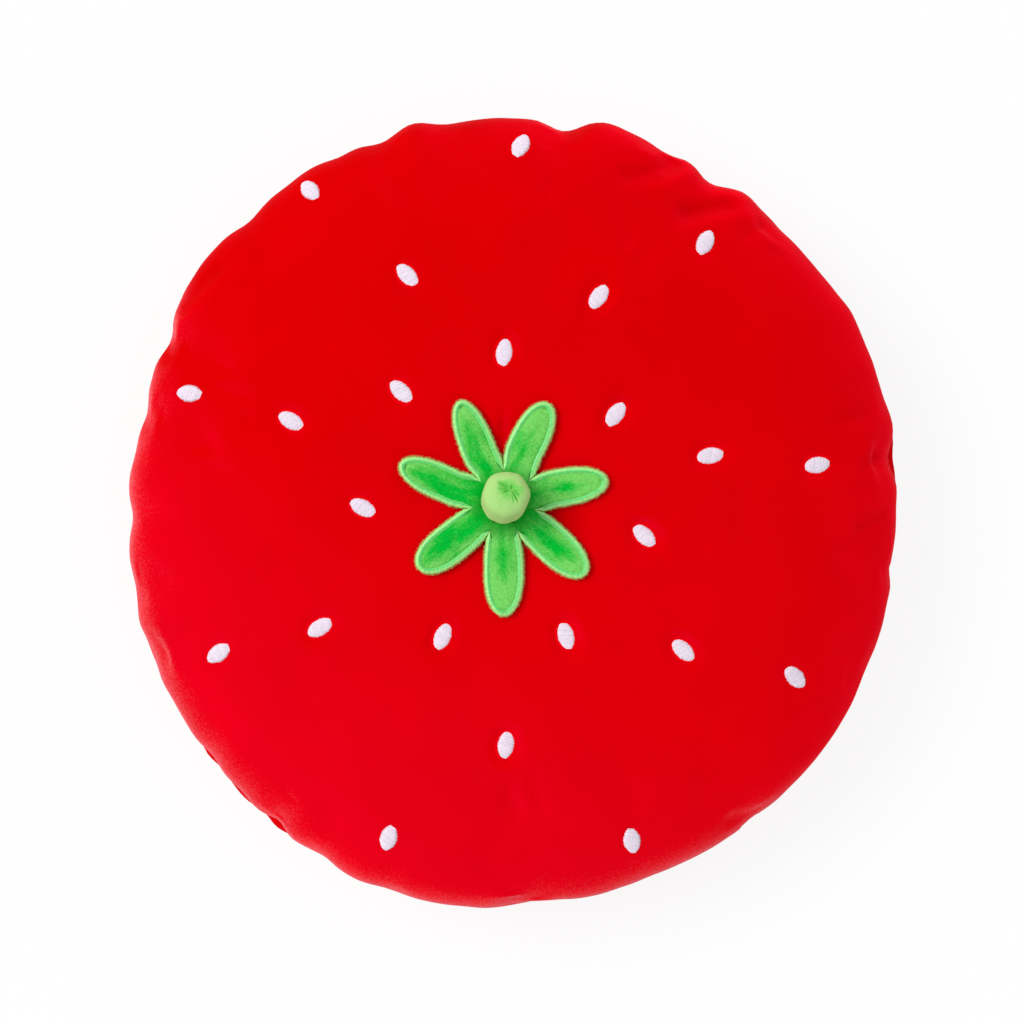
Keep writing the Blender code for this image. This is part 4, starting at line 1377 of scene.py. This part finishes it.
def leaf_pile(name, leaves):
    """Return the leaf's pile: darker streaks along its middle, and painted shade towards the stem."""
    material, tree, shader = start_material(name)
    across, along, leaf = (mark_value(tree, mark) for mark in ("across", "along", "stitch"))
    place = add_node(tree, "ShaderNodeCombineXYZ", {0: along, 1: across, 2: leaf}).outputs[0]
    wide = add_node(tree, "ShaderNodeMapping", {"Vector": place, "Scale": (2.6, 1.2, 3.7)}).outputs[0]
    fine = add_node(tree, "ShaderNodeMapping", {"Vector": place, "Scale": (34.0, 20.0, 3.7)}).outputs[0]
    side = add_node(tree, "ShaderNodeMath", {0: across}, operation="ABSOLUTE").outputs[0]
    deep = noise_node(tree, wide, 1.0, 2.0, 0.5)
    for part in (
        map_range(tree, noise_node(tree, fine, 1.0, 3.0, 0.6), 0.25, 0.75, -0.15, 0.15),
        map_range(tree, side, 0.0, 0.5, 0.09, -0.12),
        map_range(tree, along, 0.58, 0.94, 0.06, -0.40),
        mark_value(tree, "nap"),
    ):
        deep = calculate(tree, "ADD", deep, part)
    share = map_range(tree, deep, 0.36, 0.70)
    green = mix_colours(tree, share, tuple(leaves.light), tuple(leaves.shade))
    # Painted shade beside the stem
    green = mix_colours(tree, map_range(tree, along, 0.05, 0.22, 0.8, 0.0), green, tuple(leaves.root))
    lay_pile(tree, shader, green, LEAF_PILE_SCALE, LEAF_PILE_DEPTH, 0.72)
    set_sheen(shader, 0.4, 0.35, srgb(190, 255, 170))
    return material


def leaf_edge_thread(name, leaves):
    """Return the glossy thread of the leaves' edge, paler along both its sides, partly its own colour and
    partly a painted highlight.
    """

    def colour_link(tree):
        across = mark_value(tree, "across")
        outside = map_range(tree, across, -0.15, 0.40)
        inside = map_range(tree, across, -0.30, -0.55, 0.0, 0.4)
        pale = calculate(tree, "MAXIMUM", outside, inside)
        return mix_colours(tree, pale, tuple(leaves.edge_deep), tuple(leaves.edge_pale))

    return satin_thread(name, colour_link, 0.80, 0.40, 0.72)


EDGE_SIDES = 14
EDGE_SLANT = 0.35
EDGE_RIB = 0.16
EDGE_JITTER = 0.08
EDGE_HEIGHT = 0.95
EDGE_SINK = 0.0006
EDGE_FLATNESS = 0.95
FIBRES = 420
FIBRE_RADIUS = 0.00004
FIBRE_LENGTHS = (0.0003, 0.0009)
FIBRE_SIDES = 4
FIBRE_POINTS = 4
FIBRE_STEPS = 8
FIBRE_SEED = 50
FIBRE_LEAN = 0.8
FIBRE_ROOT = -0.4
FIBRE_TAPER = 1.1
FIBRE_PLACES = (-0.3, 0.9)
FIBRE_CURLS = (-0.2, 0.5)
OUTLINE_START = 0.0004
OUTLINE_ROWS = 40
OUTLINE_TIP_ROWS = 60
FIBRE_MARK = 2000


def leaf_outline(leaf, spacing):
    """Return evenly spaced points along a leaf's outline and the inward and forward directions there."""
    straight = np.linspace(LEAF_START + OUTLINE_START, leaf.widest, OUTLINE_ROWS)
    turn = np.linspace(0.0, math.pi / 2, OUTLINE_TIP_ROWS)[1:]
    around = leaf.widest + (leaf.reach - leaf.widest) * np.sin(turn)
    x = np.concatenate((straight, around))
    left = np.stack((x, leaf.half(x, 1)), axis=1)
    right = np.stack((x, -leaf.half(x, -1)), axis=1)
    outline = resample(np.concatenate((left, right[-2::-1])), spacing)
    travel = unit(np.gradient(outline, axis=0))
    travel = unit(np.stack([even_out(travel[:, axis]) for axis in range(2)], axis=1))
    return outline, np.stack((travel[:, 1], -travel[:, 0]), axis=1), travel


def leaf_edge_rings(leaf, stitch):
    """Return the rings of a leaf's satin edge, its stitch numbers and the share across it."""
    outline, inward, travel = leaf_outline(leaf, stitch / 2)
    radius = leaf.edge_radius(outline[:, 0])
    chance = random.Random(leaf.number)
    stitches = np.arange(len(outline)) // 2
    jitter = np.array([chance.uniform(-1, 1) for _ in range(stitches[-1] + 1)])[stitches]
    rib = np.where(np.arange(len(outline)) % 2 == 0, 1.0, 1.0 - EDGE_RIB) * (1 + EDGE_JITTER * jitter)
    middle = outline + inward * radius[:, None]
    turns = headings(EDGE_SIDES)
    outwards = np.cos(turns)
    plan = middle[:, None] - inward[:, None] * (outwards[None, :] * (radius * rib)[:, None])[..., None]
    plan = plan + travel[:, None] * (EDGE_SLANT * radius[:, None] * outwards[None, :])[..., None]
    lift = EDGE_HEIGHT * np.sign(np.sin(turns)) * np.abs(np.sin(turns)) ** EDGE_FLATNESS
    sink = EDGE_SINK * (1 - leaf.freedom(plan[..., 0]))
    height = leaf.level(plan[..., 0], plan[..., 1]) + lift[None, :] * (radius * rib)[:, None] - sink
    across = np.broadcast_to(outwards, height.shape)
    return leaf.to_frame(plan[..., 0], plan[..., 1], height), stitches[:, None] + 0.0 * height, across


def edge_fibres(leaf):
    """Return the rings of loose fibre ends that stand out from a leaf's edge."""
    outline, inward, travel = leaf_outline(leaf, leaf.edge / FIBRE_STEPS)
    chance = random.Random(leaf.number + FIBRE_SEED)
    rows = []
    for _ in range(FIBRES):
        index = chance.randrange(len(outline))
        if outline[index, 0] < leaf.valley:
            continue
        heading = -inward[index] + travel[index] * chance.uniform(-FIBRE_LEAN, FIBRE_LEAN)
        length = chance.uniform(*FIBRE_LENGTHS)
        share = np.linspace(FIBRE_ROOT, 1.0, FIBRE_POINTS)
        plan = outline[index] + heading * (share * length)[:, None]
        level = leaf.level(*(np.full(FIBRE_POINTS, value) for value in outline[index]))
        height = level + chance.uniform(*FIBRE_PLACES) * leaf.edge / 2
        height = height + chance.uniform(*FIBRE_CURLS) * length * share**2
        path = leaf.to_frame(plan[:, 0], plan[:, 1], height)
        rows.append(tube_rings(path, FIBRE_RADIUS * (FIBRE_TAPER - share), FIBRE_SIDES))
    return rows


PILE_UNDER = -0.0002
LINING_TOP = -0.0005
LINING_UNDER = -0.0014
LINING_BELLY = 0.0004


class STRAWBERRY_OT_leaves(Operator):
    """Sew the leaves, each of pile over a lining with a satin-stitched edge"""

    bl_idname = "strawberry.leaves"
    bl_label = "Leaves"

    def execute(self, context):
        leaves = context.scene.strawberry.leaves
        pile = leaf_pile("leaf_velvet_pile", leaves)
        lining = lining_cloth("leaf_lining_cloth", leaves.lining)
        thread = leaf_edge_thread("leaf_edge_thread", leaves)
        for number in range(1, LEAF_COUNT + 1):
            leaf = Leaf(leaves, number)
            self.sew_pile(leaf, pile)
            self.sew_lining(leaf, lining)
            self.sew_edge(leaf, leaves, thread)
        return {"FINISHED"}

    def fold(self, leaf, piece, node, slot):
        """Bake a layer's place into its points and hide the solid that it stands for."""
        start = leaf.to_frame(np.array(FOLD_START), np.array(0.0), np.array(leaf.hinge[2]))
        end = leaf.to_frame(np.array(FOLD_END), np.array(0.0), np.array(leaf.hinge[2]))
        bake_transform(piece)
        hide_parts(node)

    def sew_pile(self, leaf, material):
        """Make the leaf's upper layer."""
        rings, across, along = leaf_layer(
            leaf, EDGE_TUCK, leaf_pile_top(leaf), lambda x, y, side: 0.0 * x + PILE_UNDER
        )
        work = Patchwork()
        work.loft(rings, stitch=leaf.number, across=across, along=along, nap=leaf.nap)
        piece = work.sew(f"leaf_{leaf.number}_pile", material)
        self.fold(leaf, piece, f"leaf_{leaf.number}_plush", "leaf_plush")

    def sew_lining(self, leaf, material):
        """Make the leaf's under layer."""
        rings, _, _ = leaf_layer(
            leaf,
            0.0,
            lambda x, y, side: 0.0 * x + LINING_TOP,
            lambda x, y, side: LINING_UNDER - LINING_BELLY * (1 - side**4),
        )
        work = Patchwork()
        work.loft(rings)
        piece = work.sew(f"leaf_{leaf.number}_lining", material)
        self.fold(leaf, piece, f"leaf_{leaf.number}_backing", "leaf_backing")
        x = leaf_rows(leaf, leaf.edge)
        half = sum(np.maximum(leaf.half(x, side) - 2 * leaf.edge_radius(x), 0.0) for side in (1, -1))

    def sew_edge(self, leaf, leaves, material):
        """Make the leaf's satin-stitched edge and its loose fibre ends."""
        rings, stitches, across = leaf_edge_rings(leaf, leaves.stitch)
        work = Patchwork()
        work.loft(rings, stitch=stitches, across=across)
        for number, fibre in enumerate(edge_fibres(leaf)):
            work.loft(fibre, stitch=number + FIBRE_MARK, across=1.0)
        piece = work.sew(f"leaf_{leaf.number}_satin_edge", material)
        self.fold(leaf, piece, f"leaf_{leaf.number}_border", "leaf_border_thread")


HUB_RADIUS = 0.0132
HUB_STEPS = 84
HUB_ROWS = 12
HUB_POLE = 0.03
HUB_TOP_ROUND = 0.45
HUB_BASE_ROUND = 0.4
HUB_FOLD = 0.0005
HUB_FOLD_WIDTH = 0.22
HUB_ROUNDING = (0.8, 1.0)
HUB_GAP = 0.0003


def calyx_circle(radius, turns, height):
    """Return points round the calyx's middle."""
    plan = (CALYX_CENTRE[0] + radius * np.cos(turns), CALYX_CENTRE[1] + radius * np.sin(turns))
    return np.stack((*plan, height), axis=1)


def hub_disc(bottom, top):
    """Return the rings of a soft round layer under the stem, folded towards each valley between leaves."""
    rows = np.linspace(HUB_POLE, 1.0, HUB_ROWS)
    turns = headings(HUB_STEPS)
    leaves = range(1, LEAF_COUNT + 1)
    folds = sum(np.exp(-((turn_apart(turns, leaf_heading(n)) / HUB_FOLD_WIDTH) ** 2)) for n in leaves)
    rings = []
    for share in rows:
        rounding = (top - bottom) * HUB_TOP_ROUND * smooth(*HUB_ROUNDING, share)
        rings.append(calyx_circle(share * HUB_RADIUS, turns, top - HUB_FOLD * share * (1 - folds) - rounding))
    for share in rows[::-1]:
        height = bottom + (top - bottom) * HUB_BASE_ROUND * smooth(*HUB_ROUNDING, share)
        rings.append(calyx_circle(share * HUB_RADIUS, turns, height + 0.0 * turns))
    return np.array(rings)


class STRAWBERRY_OT_hub(Operator):
    """Sew the calyx's middle down under the stem"""

    bl_idname = "strawberry.hub"
    bl_label = "Calyx middle"

    def execute(self, context):
        leaves = context.scene.strawberry.leaves
        pile = leaf_pile("hub_velvet_pile", leaves)
        lining = lining_cloth("hub_lining_cloth", leaves.lining)
        thread = plain_thread("calyx_sewing_thread", leaves.lining)
        for name, node, slot, bottom, top, material in (
            ("hub_pile", "calyx_hub_plush", "leaf_plush", CALYX_MIDDLE, CALYX_TOP, pile),
            ("hub_lining", "calyx_hub_backing", "leaf_backing", CALYX_BASE, CALYX_MIDDLE - HUB_GAP, lining),
        ):
            work = Patchwork()
            work.loft(hub_disc(bottom, top))
            stand_in(work.sew(name, material), "cushion", node)
        self.sew_seat(thread)
        return {"FINISHED"}

    def sew_seat(self, material):
        """Stitch the ring that holds the calyx down."""
        count = round(math.tau * SEAT_RADIUS / STITCH_LENGTH)
        ring = Patchwork()
        for index in range(count):
            turn = (index + np.linspace(*STITCH_SPAN, STITCH_POINTS)) * math.tau / count
            arch = np.sin(np.linspace(0.0, math.pi, STITCH_POINTS))
            height = SEAT_LEVEL + STITCH_RADIUS * STITCH_ARCH * arch
            path = calyx_circle(SEAT_RADIUS, turn, height)
            ring.loft(tube_rings(path, STITCH_RADIUS, STITCH_SIDES), stitch=index)
        stand_in(ring.sew("seat_stitches", material), "cushion", "calyx_seat_stitch")


# Stem

STEM_STEPS = 240
STEM_WALL = 0.0018
STEM_DIMPLE = 0.0012
STEM_DIMPLE_RADIUS = 0.0044
STEM_CORNER_RISE = 0.0005
STEM_CORNER_WIDTH = 0.30
STEM_POLE = (0.0020, 0.0010)
STEM_FOOT_EASE = 0.07
STEM_FOOT_RISE = 0.985
STEM_END_EASE = 0.02
STEM_FOOT_TURN = math.radians(-88)
STEM_END_TURN = math.radians(86)
STEM_GREEN = (0.0024, 0.0100)
STEM_DEEPEST = 0.0011
STEM_END_START = 0.0015
STEM_END_FULL = 0.75
STEM_END_POWER = 0.9
STEM_FOOT_ROWS = 26
STEM_TUBE_ROWS = 12
STEM_END_ROWS = 34
STEM_FOOT_FADE = (0.6, -0.5)
STEM_FOLD_POLE = 0.0008
STEM_FOLD_FADE = 0.6
DRAWSTRING_STITCHES = 8
DRAWSTRING_RADIUS = 0.0030
DRAWSTRING_SPAN = (0.1, 0.75)
DRAWSTRING_RISE = 0.0003
DRAWSTRING_SINK = 0.0026
TACK_STITCHES = 4
TACK_POINTS = 9
TACK_RISE = 0.0002
TACK_STEP = 0.00008


def stem_axes():
    """Return the stem's sideways, crosswise and upward directions, from where its gathered end lies."""
    low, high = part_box("stem_gather_thread")
    upward = unit(np.array((low + high) / 2) - STEM_PIVOT)
    sideways = unit(np.array((1.0, 0.0, 0.0)) - upward * upward[0])
    return sideways, np.cross(upward, sideways), upward


def stem_profile(stem, inset):
    """Return the stem's radii and heights about its pivot, from its foot to its gathered end."""
    radius = stem.diameter / 2 - inset
    foot_turn = np.linspace(STEM_FOOT_TURN, 0.0, STEM_FOOT_ROWS)
    foot = np.stack((radius * np.cos(foot_turn), radius * STEM_FOOT_RISE * np.sin(foot_turn)), axis=1)
    rise = np.linspace(0.0, 1.0, STEM_TUBE_ROWS)[1:]
    tube = np.stack((radius + 0.0 * rise, stem.tube * rise), axis=1)
    end_turn = np.linspace(0.0, STEM_END_TURN, STEM_END_ROWS)[1:]
    lid = radius * np.cos(end_turn)
    lift = (stem.end_rise - inset) * np.sin(end_turn) ** STEM_END_POWER
    dimple = STEM_DIMPLE * np.exp(-((lid / STEM_DIMPLE_RADIUS) ** 2))
    end = np.stack((lid, stem.tube + lift - dimple), axis=1)
    profile = np.concatenate((foot, tube, end))
    foot_share = smooth(stem.tube * STEM_FOOT_FADE[0], radius * STEM_FOOT_FADE[1], profile[:, 1])
    profile[:, 0] *= 1 + STEM_END_EASE - (STEM_END_EASE + STEM_FOOT_EASE) * foot_share
    return profile


def stem_points(stem, profile, folded):
    """Return the stem's points with corners and folds, how far each is end, and how deep it lies."""
    turns = headings(STEM_STEPS)
    radii, heights = profile[:, :1], profile[:, 1:]
    on_end = smooth(stem.tube + STEM_END_START, stem.tube + stem.end_rise * STEM_END_FULL, heights)
    radius = np.broadcast_to(radii, (len(profile), STEM_STEPS)).copy()
    height = np.broadcast_to(heights, radius.shape).copy()
    corners = np.zeros(STEM_STEPS)
    for degrees in STEM_CORNERS:
        apart = turn_apart(turns, math.radians(degrees))
        corners += np.exp(-((apart / STEM_CORNER_WIDTH) ** 2))
    outer = np.clip(radii / (stem.diameter / 2), 0.0, 1.0) ** 2
    radius += STEM_CORNER_RISE * (corners - corners.mean()) * outer
    sunk = np.zeros_like(radius)
    if folded:
        for degrees, start, reach, depth, half_width in STEM_FOLDS:
            apart = turn_apart(turns, math.radians(degrees))
            crease = np.exp(-((apart * np.maximum(radii, STEM_FOLD_POLE) / half_width) ** 2))
            within = smooth(reach, reach * STEM_FOLD_FADE, radii)
            sunk += depth * crease * within * on_end * smooth(0.0, start, radii)
        height -= sunk
    sideways, crosswise, upward = stem_axes()
    drawn = on_end * (1 - radii / (stem.diameter / 2))
    points = STEM_PIVOT + sideways * (radius * np.cos(turns) + STEM_POLE[0] * drawn)[..., None]
    points = points + crosswise * (radius * np.sin(turns) + STEM_POLE[1] * drawn)[..., None]
    points = points + upward * height[..., None]
    middle = 1 - smooth(*STEM_GREEN, np.broadcast_to(radii, radius.shape))
    return points, middle * on_end, np.clip(sunk / STEM_DEEPEST, 0.0, 1.0)


def stem_velvet(name, stem):
    """Return the stem's pale velvet, greener round its gathered end, with painted shade in the folds."""
    material, tree, shader = start_material(name)
    patches = noise_node(tree, object_coordinates(tree), 240.0, 3.0, 0.5)
    end = mark_value(tree, "across")
    mixed = calculate(tree, "ADD", end, stretch_noise(tree, patches, -0.45, 0.30))
    share = map_range(tree, mixed, 0.15, 1.0)
    green = mix_colours(tree, share, tuple(stem.side), tuple(stem.end))
    # Painted shade: the folds of the end are painted darker by their depth
    sunk = map_range(tree, mark_value(tree, "along"), 0.1, 0.9, 0.0, 0.9)
    green = mix_colours(tree, sunk, green, tuple(stem.crease))
    lay_pile(tree, shader, green, STEM_PILE_SCALE, VELVET_DEPTH, 0.92)
    set_sheen(shader, 0.3, 0.35, srgb(226, 255, 186))
    return material


class STRAWBERRY_OT_stem(Operator):
    """Sew the stuffed stem and gather its end"""

    bl_idname = "strawberry.stem"
    bl_label = "Stem"

    def execute(self, context):
        settings = context.scene.strawberry
        stem = settings.stem
        pale = stem_velvet("stem_velvet_pile", stem)
        thread = plain_thread("stem_sewing_thread", stem.side)
        outer, end, sunk = stem_points(stem, stem_profile(stem, 0.0), True)
        sleeve = Patchwork()
        sleeve.loft(outer, across=end, along=sunk)
        stand_in(sleeve.sew("stem_sleeve", pale), "stem", "stem_cover")
        inner, _, _ = stem_points(stem, stem_profile(stem, STEM_WALL), False)
        wad = Patchwork()
        wad.loft(inner)
        fibre = fibre_wad("stem_wad_fibre", settings.cover.fibre)
        stand_in(wad.sew("stem_wad", fibre), "stem", "stem_filling")
        self.gather(thread)
        self.tack(thread)
        return {"FINISHED"}

    def gather(self, material):
        """Draw the end together with a ring of running stitches."""
        low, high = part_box("stem_gather_thread")
        middle = np.array((low + high) / 2)
        sideways, crosswise, upward = stem_axes()
        ring = Patchwork()
        for index in range(DRAWSTRING_STITCHES):
            turn = (index + np.linspace(*DRAWSTRING_SPAN, STITCH_POINTS)) * math.tau / DRAWSTRING_STITCHES
            rise = DRAWSTRING_RISE * np.sin(np.linspace(0.0, math.pi, STITCH_POINTS)) - DRAWSTRING_SINK
            path = middle + sideways * (DRAWSTRING_RADIUS * np.cos(turn) + STEM_POLE[0])[:, None]
            path = path + crosswise * (DRAWSTRING_RADIUS * np.sin(turn) + STEM_POLE[1])[:, None]
            path = path + upward * rise[:, None]
            ring.loft(tube_rings(path, STITCH_RADIUS, STITCH_SIDES), stitch=index)
        stand_in(ring.sew("stem_drawstring", material), "stem", "stem_gather_thread")

    def tack(self, material):
        """Tack the foot to the calyx with a small cross of stitches."""
        low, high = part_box("stem_tack_stitch")
        middle = np.array((low + high) / 2)
        reach = (high.x - low.x) / 2
        cross = Patchwork()
        for index in range(TACK_STITCHES):
            turn = index * math.pi / TACK_STITCHES
            heading = np.array((math.cos(turn), math.sin(turn), 0.0))
            share = np.linspace(-1.0, 1.0, TACK_POINTS)
            path = middle + heading * (reach * share)[:, None]
            path[:, 2] += TACK_RISE * (1 - share**2) + TACK_STEP * index
            cross.loft(tube_rings(path, STITCH_RADIUS, STITCH_SIDES), stitch=index)
        stand_in(cross.sew("stem_tack_stitches", material), "stem_tack", "stem_tack_stitch")


# Stage

SENSOR_WIDTH = 36.0
FLOOR_SIZE = 6.0
KEY_PLACE = (-1.3, 0.55, 2.0)
KEY_SPREAD = math.radians(30)
FLOOR_GLOW = 0.88
FLOOR_DROP = 0.0005


class STRAWBERRY_OT_stage(Operator):
    """Set up the camera, the lamps and the pale floor"""

    bl_idname = "strawberry.stage"
    bl_label = "Stage"

    def execute(self, context):
        stage = context.scene.strawberry.stage
        context.scene.view_settings.view_transform = "Standard"
        self.add_camera(context, stage)
        self.add_lamp(context, stage)
        self.light_world(context, stage)
        self.add_floor(context, stage)
        return {"FINISHED"}

    def add_camera(self, context, stage):
        """Look straight down on the cushion."""
        camera = bpy.data.cameras.new("camera")
        camera.sensor_width = SENSOR_WIDTH
        camera.lens = SENSOR_WIDTH * (stage.camera_height - stage.view_level) / stage.view_width
        camera.clip_end = FLOOR_SIZE * 4
        eye = bpy.data.objects.new("camera", camera)
        eye.location = (0.0, 0.0, stage.camera_height)
        context.scene.collection.objects.link(eye)
        context.scene.camera = eye

    def add_lamp(self, context, stage):
        """Light the cushion softly from the upper left."""
        sun = bpy.data.lights.new("key", "SUN")
        sun.energy = stage.key_strength
        sun.angle = KEY_SPREAD
        lamp = bpy.data.objects.new("key", sun)
        lamp.location = KEY_PLACE
        lamp.rotation_euler = (-Vector(KEY_PLACE)).to_track_quat("-Z", "Y").to_euler()
        context.scene.collection.objects.link(lamp)

    def light_world(self, context, stage):
        """Fill the shadows, and show white behind the cushion."""
        world = bpy.data.worlds.new("studio")
        world.use_nodes = True
        tree = world.node_tree
        background = tree.nodes["Background"]
        background.inputs["Color"].default_value = (1.0, 1.0, 1.0, 1.0)
        seen = self.seen_directly(tree)
        strength = map_range(tree, seen, 0.0, 1.0, stage.fill_strength, 1.0)
        tree.links.new(strength, background.inputs["Strength"])
        context.scene.world = world

    def seen_directly(self, tree):
        """Return 1 for rays from the camera, mirrors and glass."""
        path = add_node(tree, "ShaderNodeLightPath")
        seen = path.outputs["Is Camera Ray"]
        for name in ("Is Glossy Ray", "Is Transmission Ray"):
            seen = calculate(tree, "MAXIMUM", seen, path.outputs[name])
        return seen

    def add_floor(self, context, stage):
        """Lay a pale floor that keeps the cushion's shadow."""
        sheet = bmesh.new()
        bmesh.ops.create_grid(sheet, x_segments=1, y_segments=1, size=FLOOR_SIZE)
        mesh = bpy.data.meshes.new("floor")
        sheet.to_mesh(mesh)
        sheet.free()
        floor = bpy.data.objects.new("floor", mesh)
        floor.location.z = -FLOOR_DROP
        context.scene.collection.objects.link(floor)
        material, tree, shader = start_material("floor_paper")
        shader.inputs["Base Color"].default_value = (*stage.floor_colour, 1.0)
        shader.inputs["Roughness"].default_value = 0.95
        shader.inputs["Specular IOR Level"].default_value = 0.0
        glow = add_node(tree, "ShaderNodeEmission", {"Color": (1.0, 1.0, 1.0, 1.0), "Strength": 1.0})
        share = map_range(tree, self.seen_directly(tree), 0.0, 1.0, 0.0, FLOOR_GLOW)
        mixed = add_node(tree, "ShaderNodeMixShader", {0: share, 1: shader.outputs[0], 2: glow.outputs[0]})
        tree.links.new(mixed.outputs[0], tree.nodes["Material Output"].inputs["Surface"])
        mesh.materials.append(material)


OPERATORS = (
    STRAWBERRY_OT_stage,
    STRAWBERRY_OT_cover,
    STRAWBERRY_OT_filling,
    STRAWBERRY_OT_seam,
    STRAWBERRY_OT_seeds,
    STRAWBERRY_OT_hub,
    STRAWBERRY_OT_leaves,
    STRAWBERRY_OT_stem,
)


class STRAWBERRY_PT_cushion(Panel):
    """Lists the steps that sew the cushion"""

    bl_idname = "STRAWBERRY_PT_cushion"
    bl_label = "Strawberry cushion"
    bl_space_type = "VIEW_3D"
    bl_region_type = "UI"
    bl_category = "Strawberry"

    def draw(self, context):
        for step in OPERATORS:
            self.layout.operator(step.bl_idname)


CLASSES = (
    StageSettings,
    CoverSettings,
    SeedSettings,
    LeafSettings,
    StemSettings,
    CushionSettings,
    *OPERATORS,
    STRAWBERRY_PT_cushion,
)


def register():
    """Register the settings, the operators and the panel."""
    for item in CLASSES:
        bpy.utils.register_class(item)
    bpy.types.Scene.strawberry = PointerProperty(type=CushionSettings)


def unregister():
    """Take the settings, the operators and the panel away again."""
    del bpy.types.Scene.strawberry
    for item in reversed(CLASSES):
        bpy.utils.unregister_class(item)


def main():
    """Sew the whole cushion."""
    register()
    for step in OPERATORS:
        group, name = step.bl_idname.split(".")
        getattr(getattr(bpy.ops, group), name)()
    bpy.context.view_layer.update()


if __name__ == "__main__":
    main()
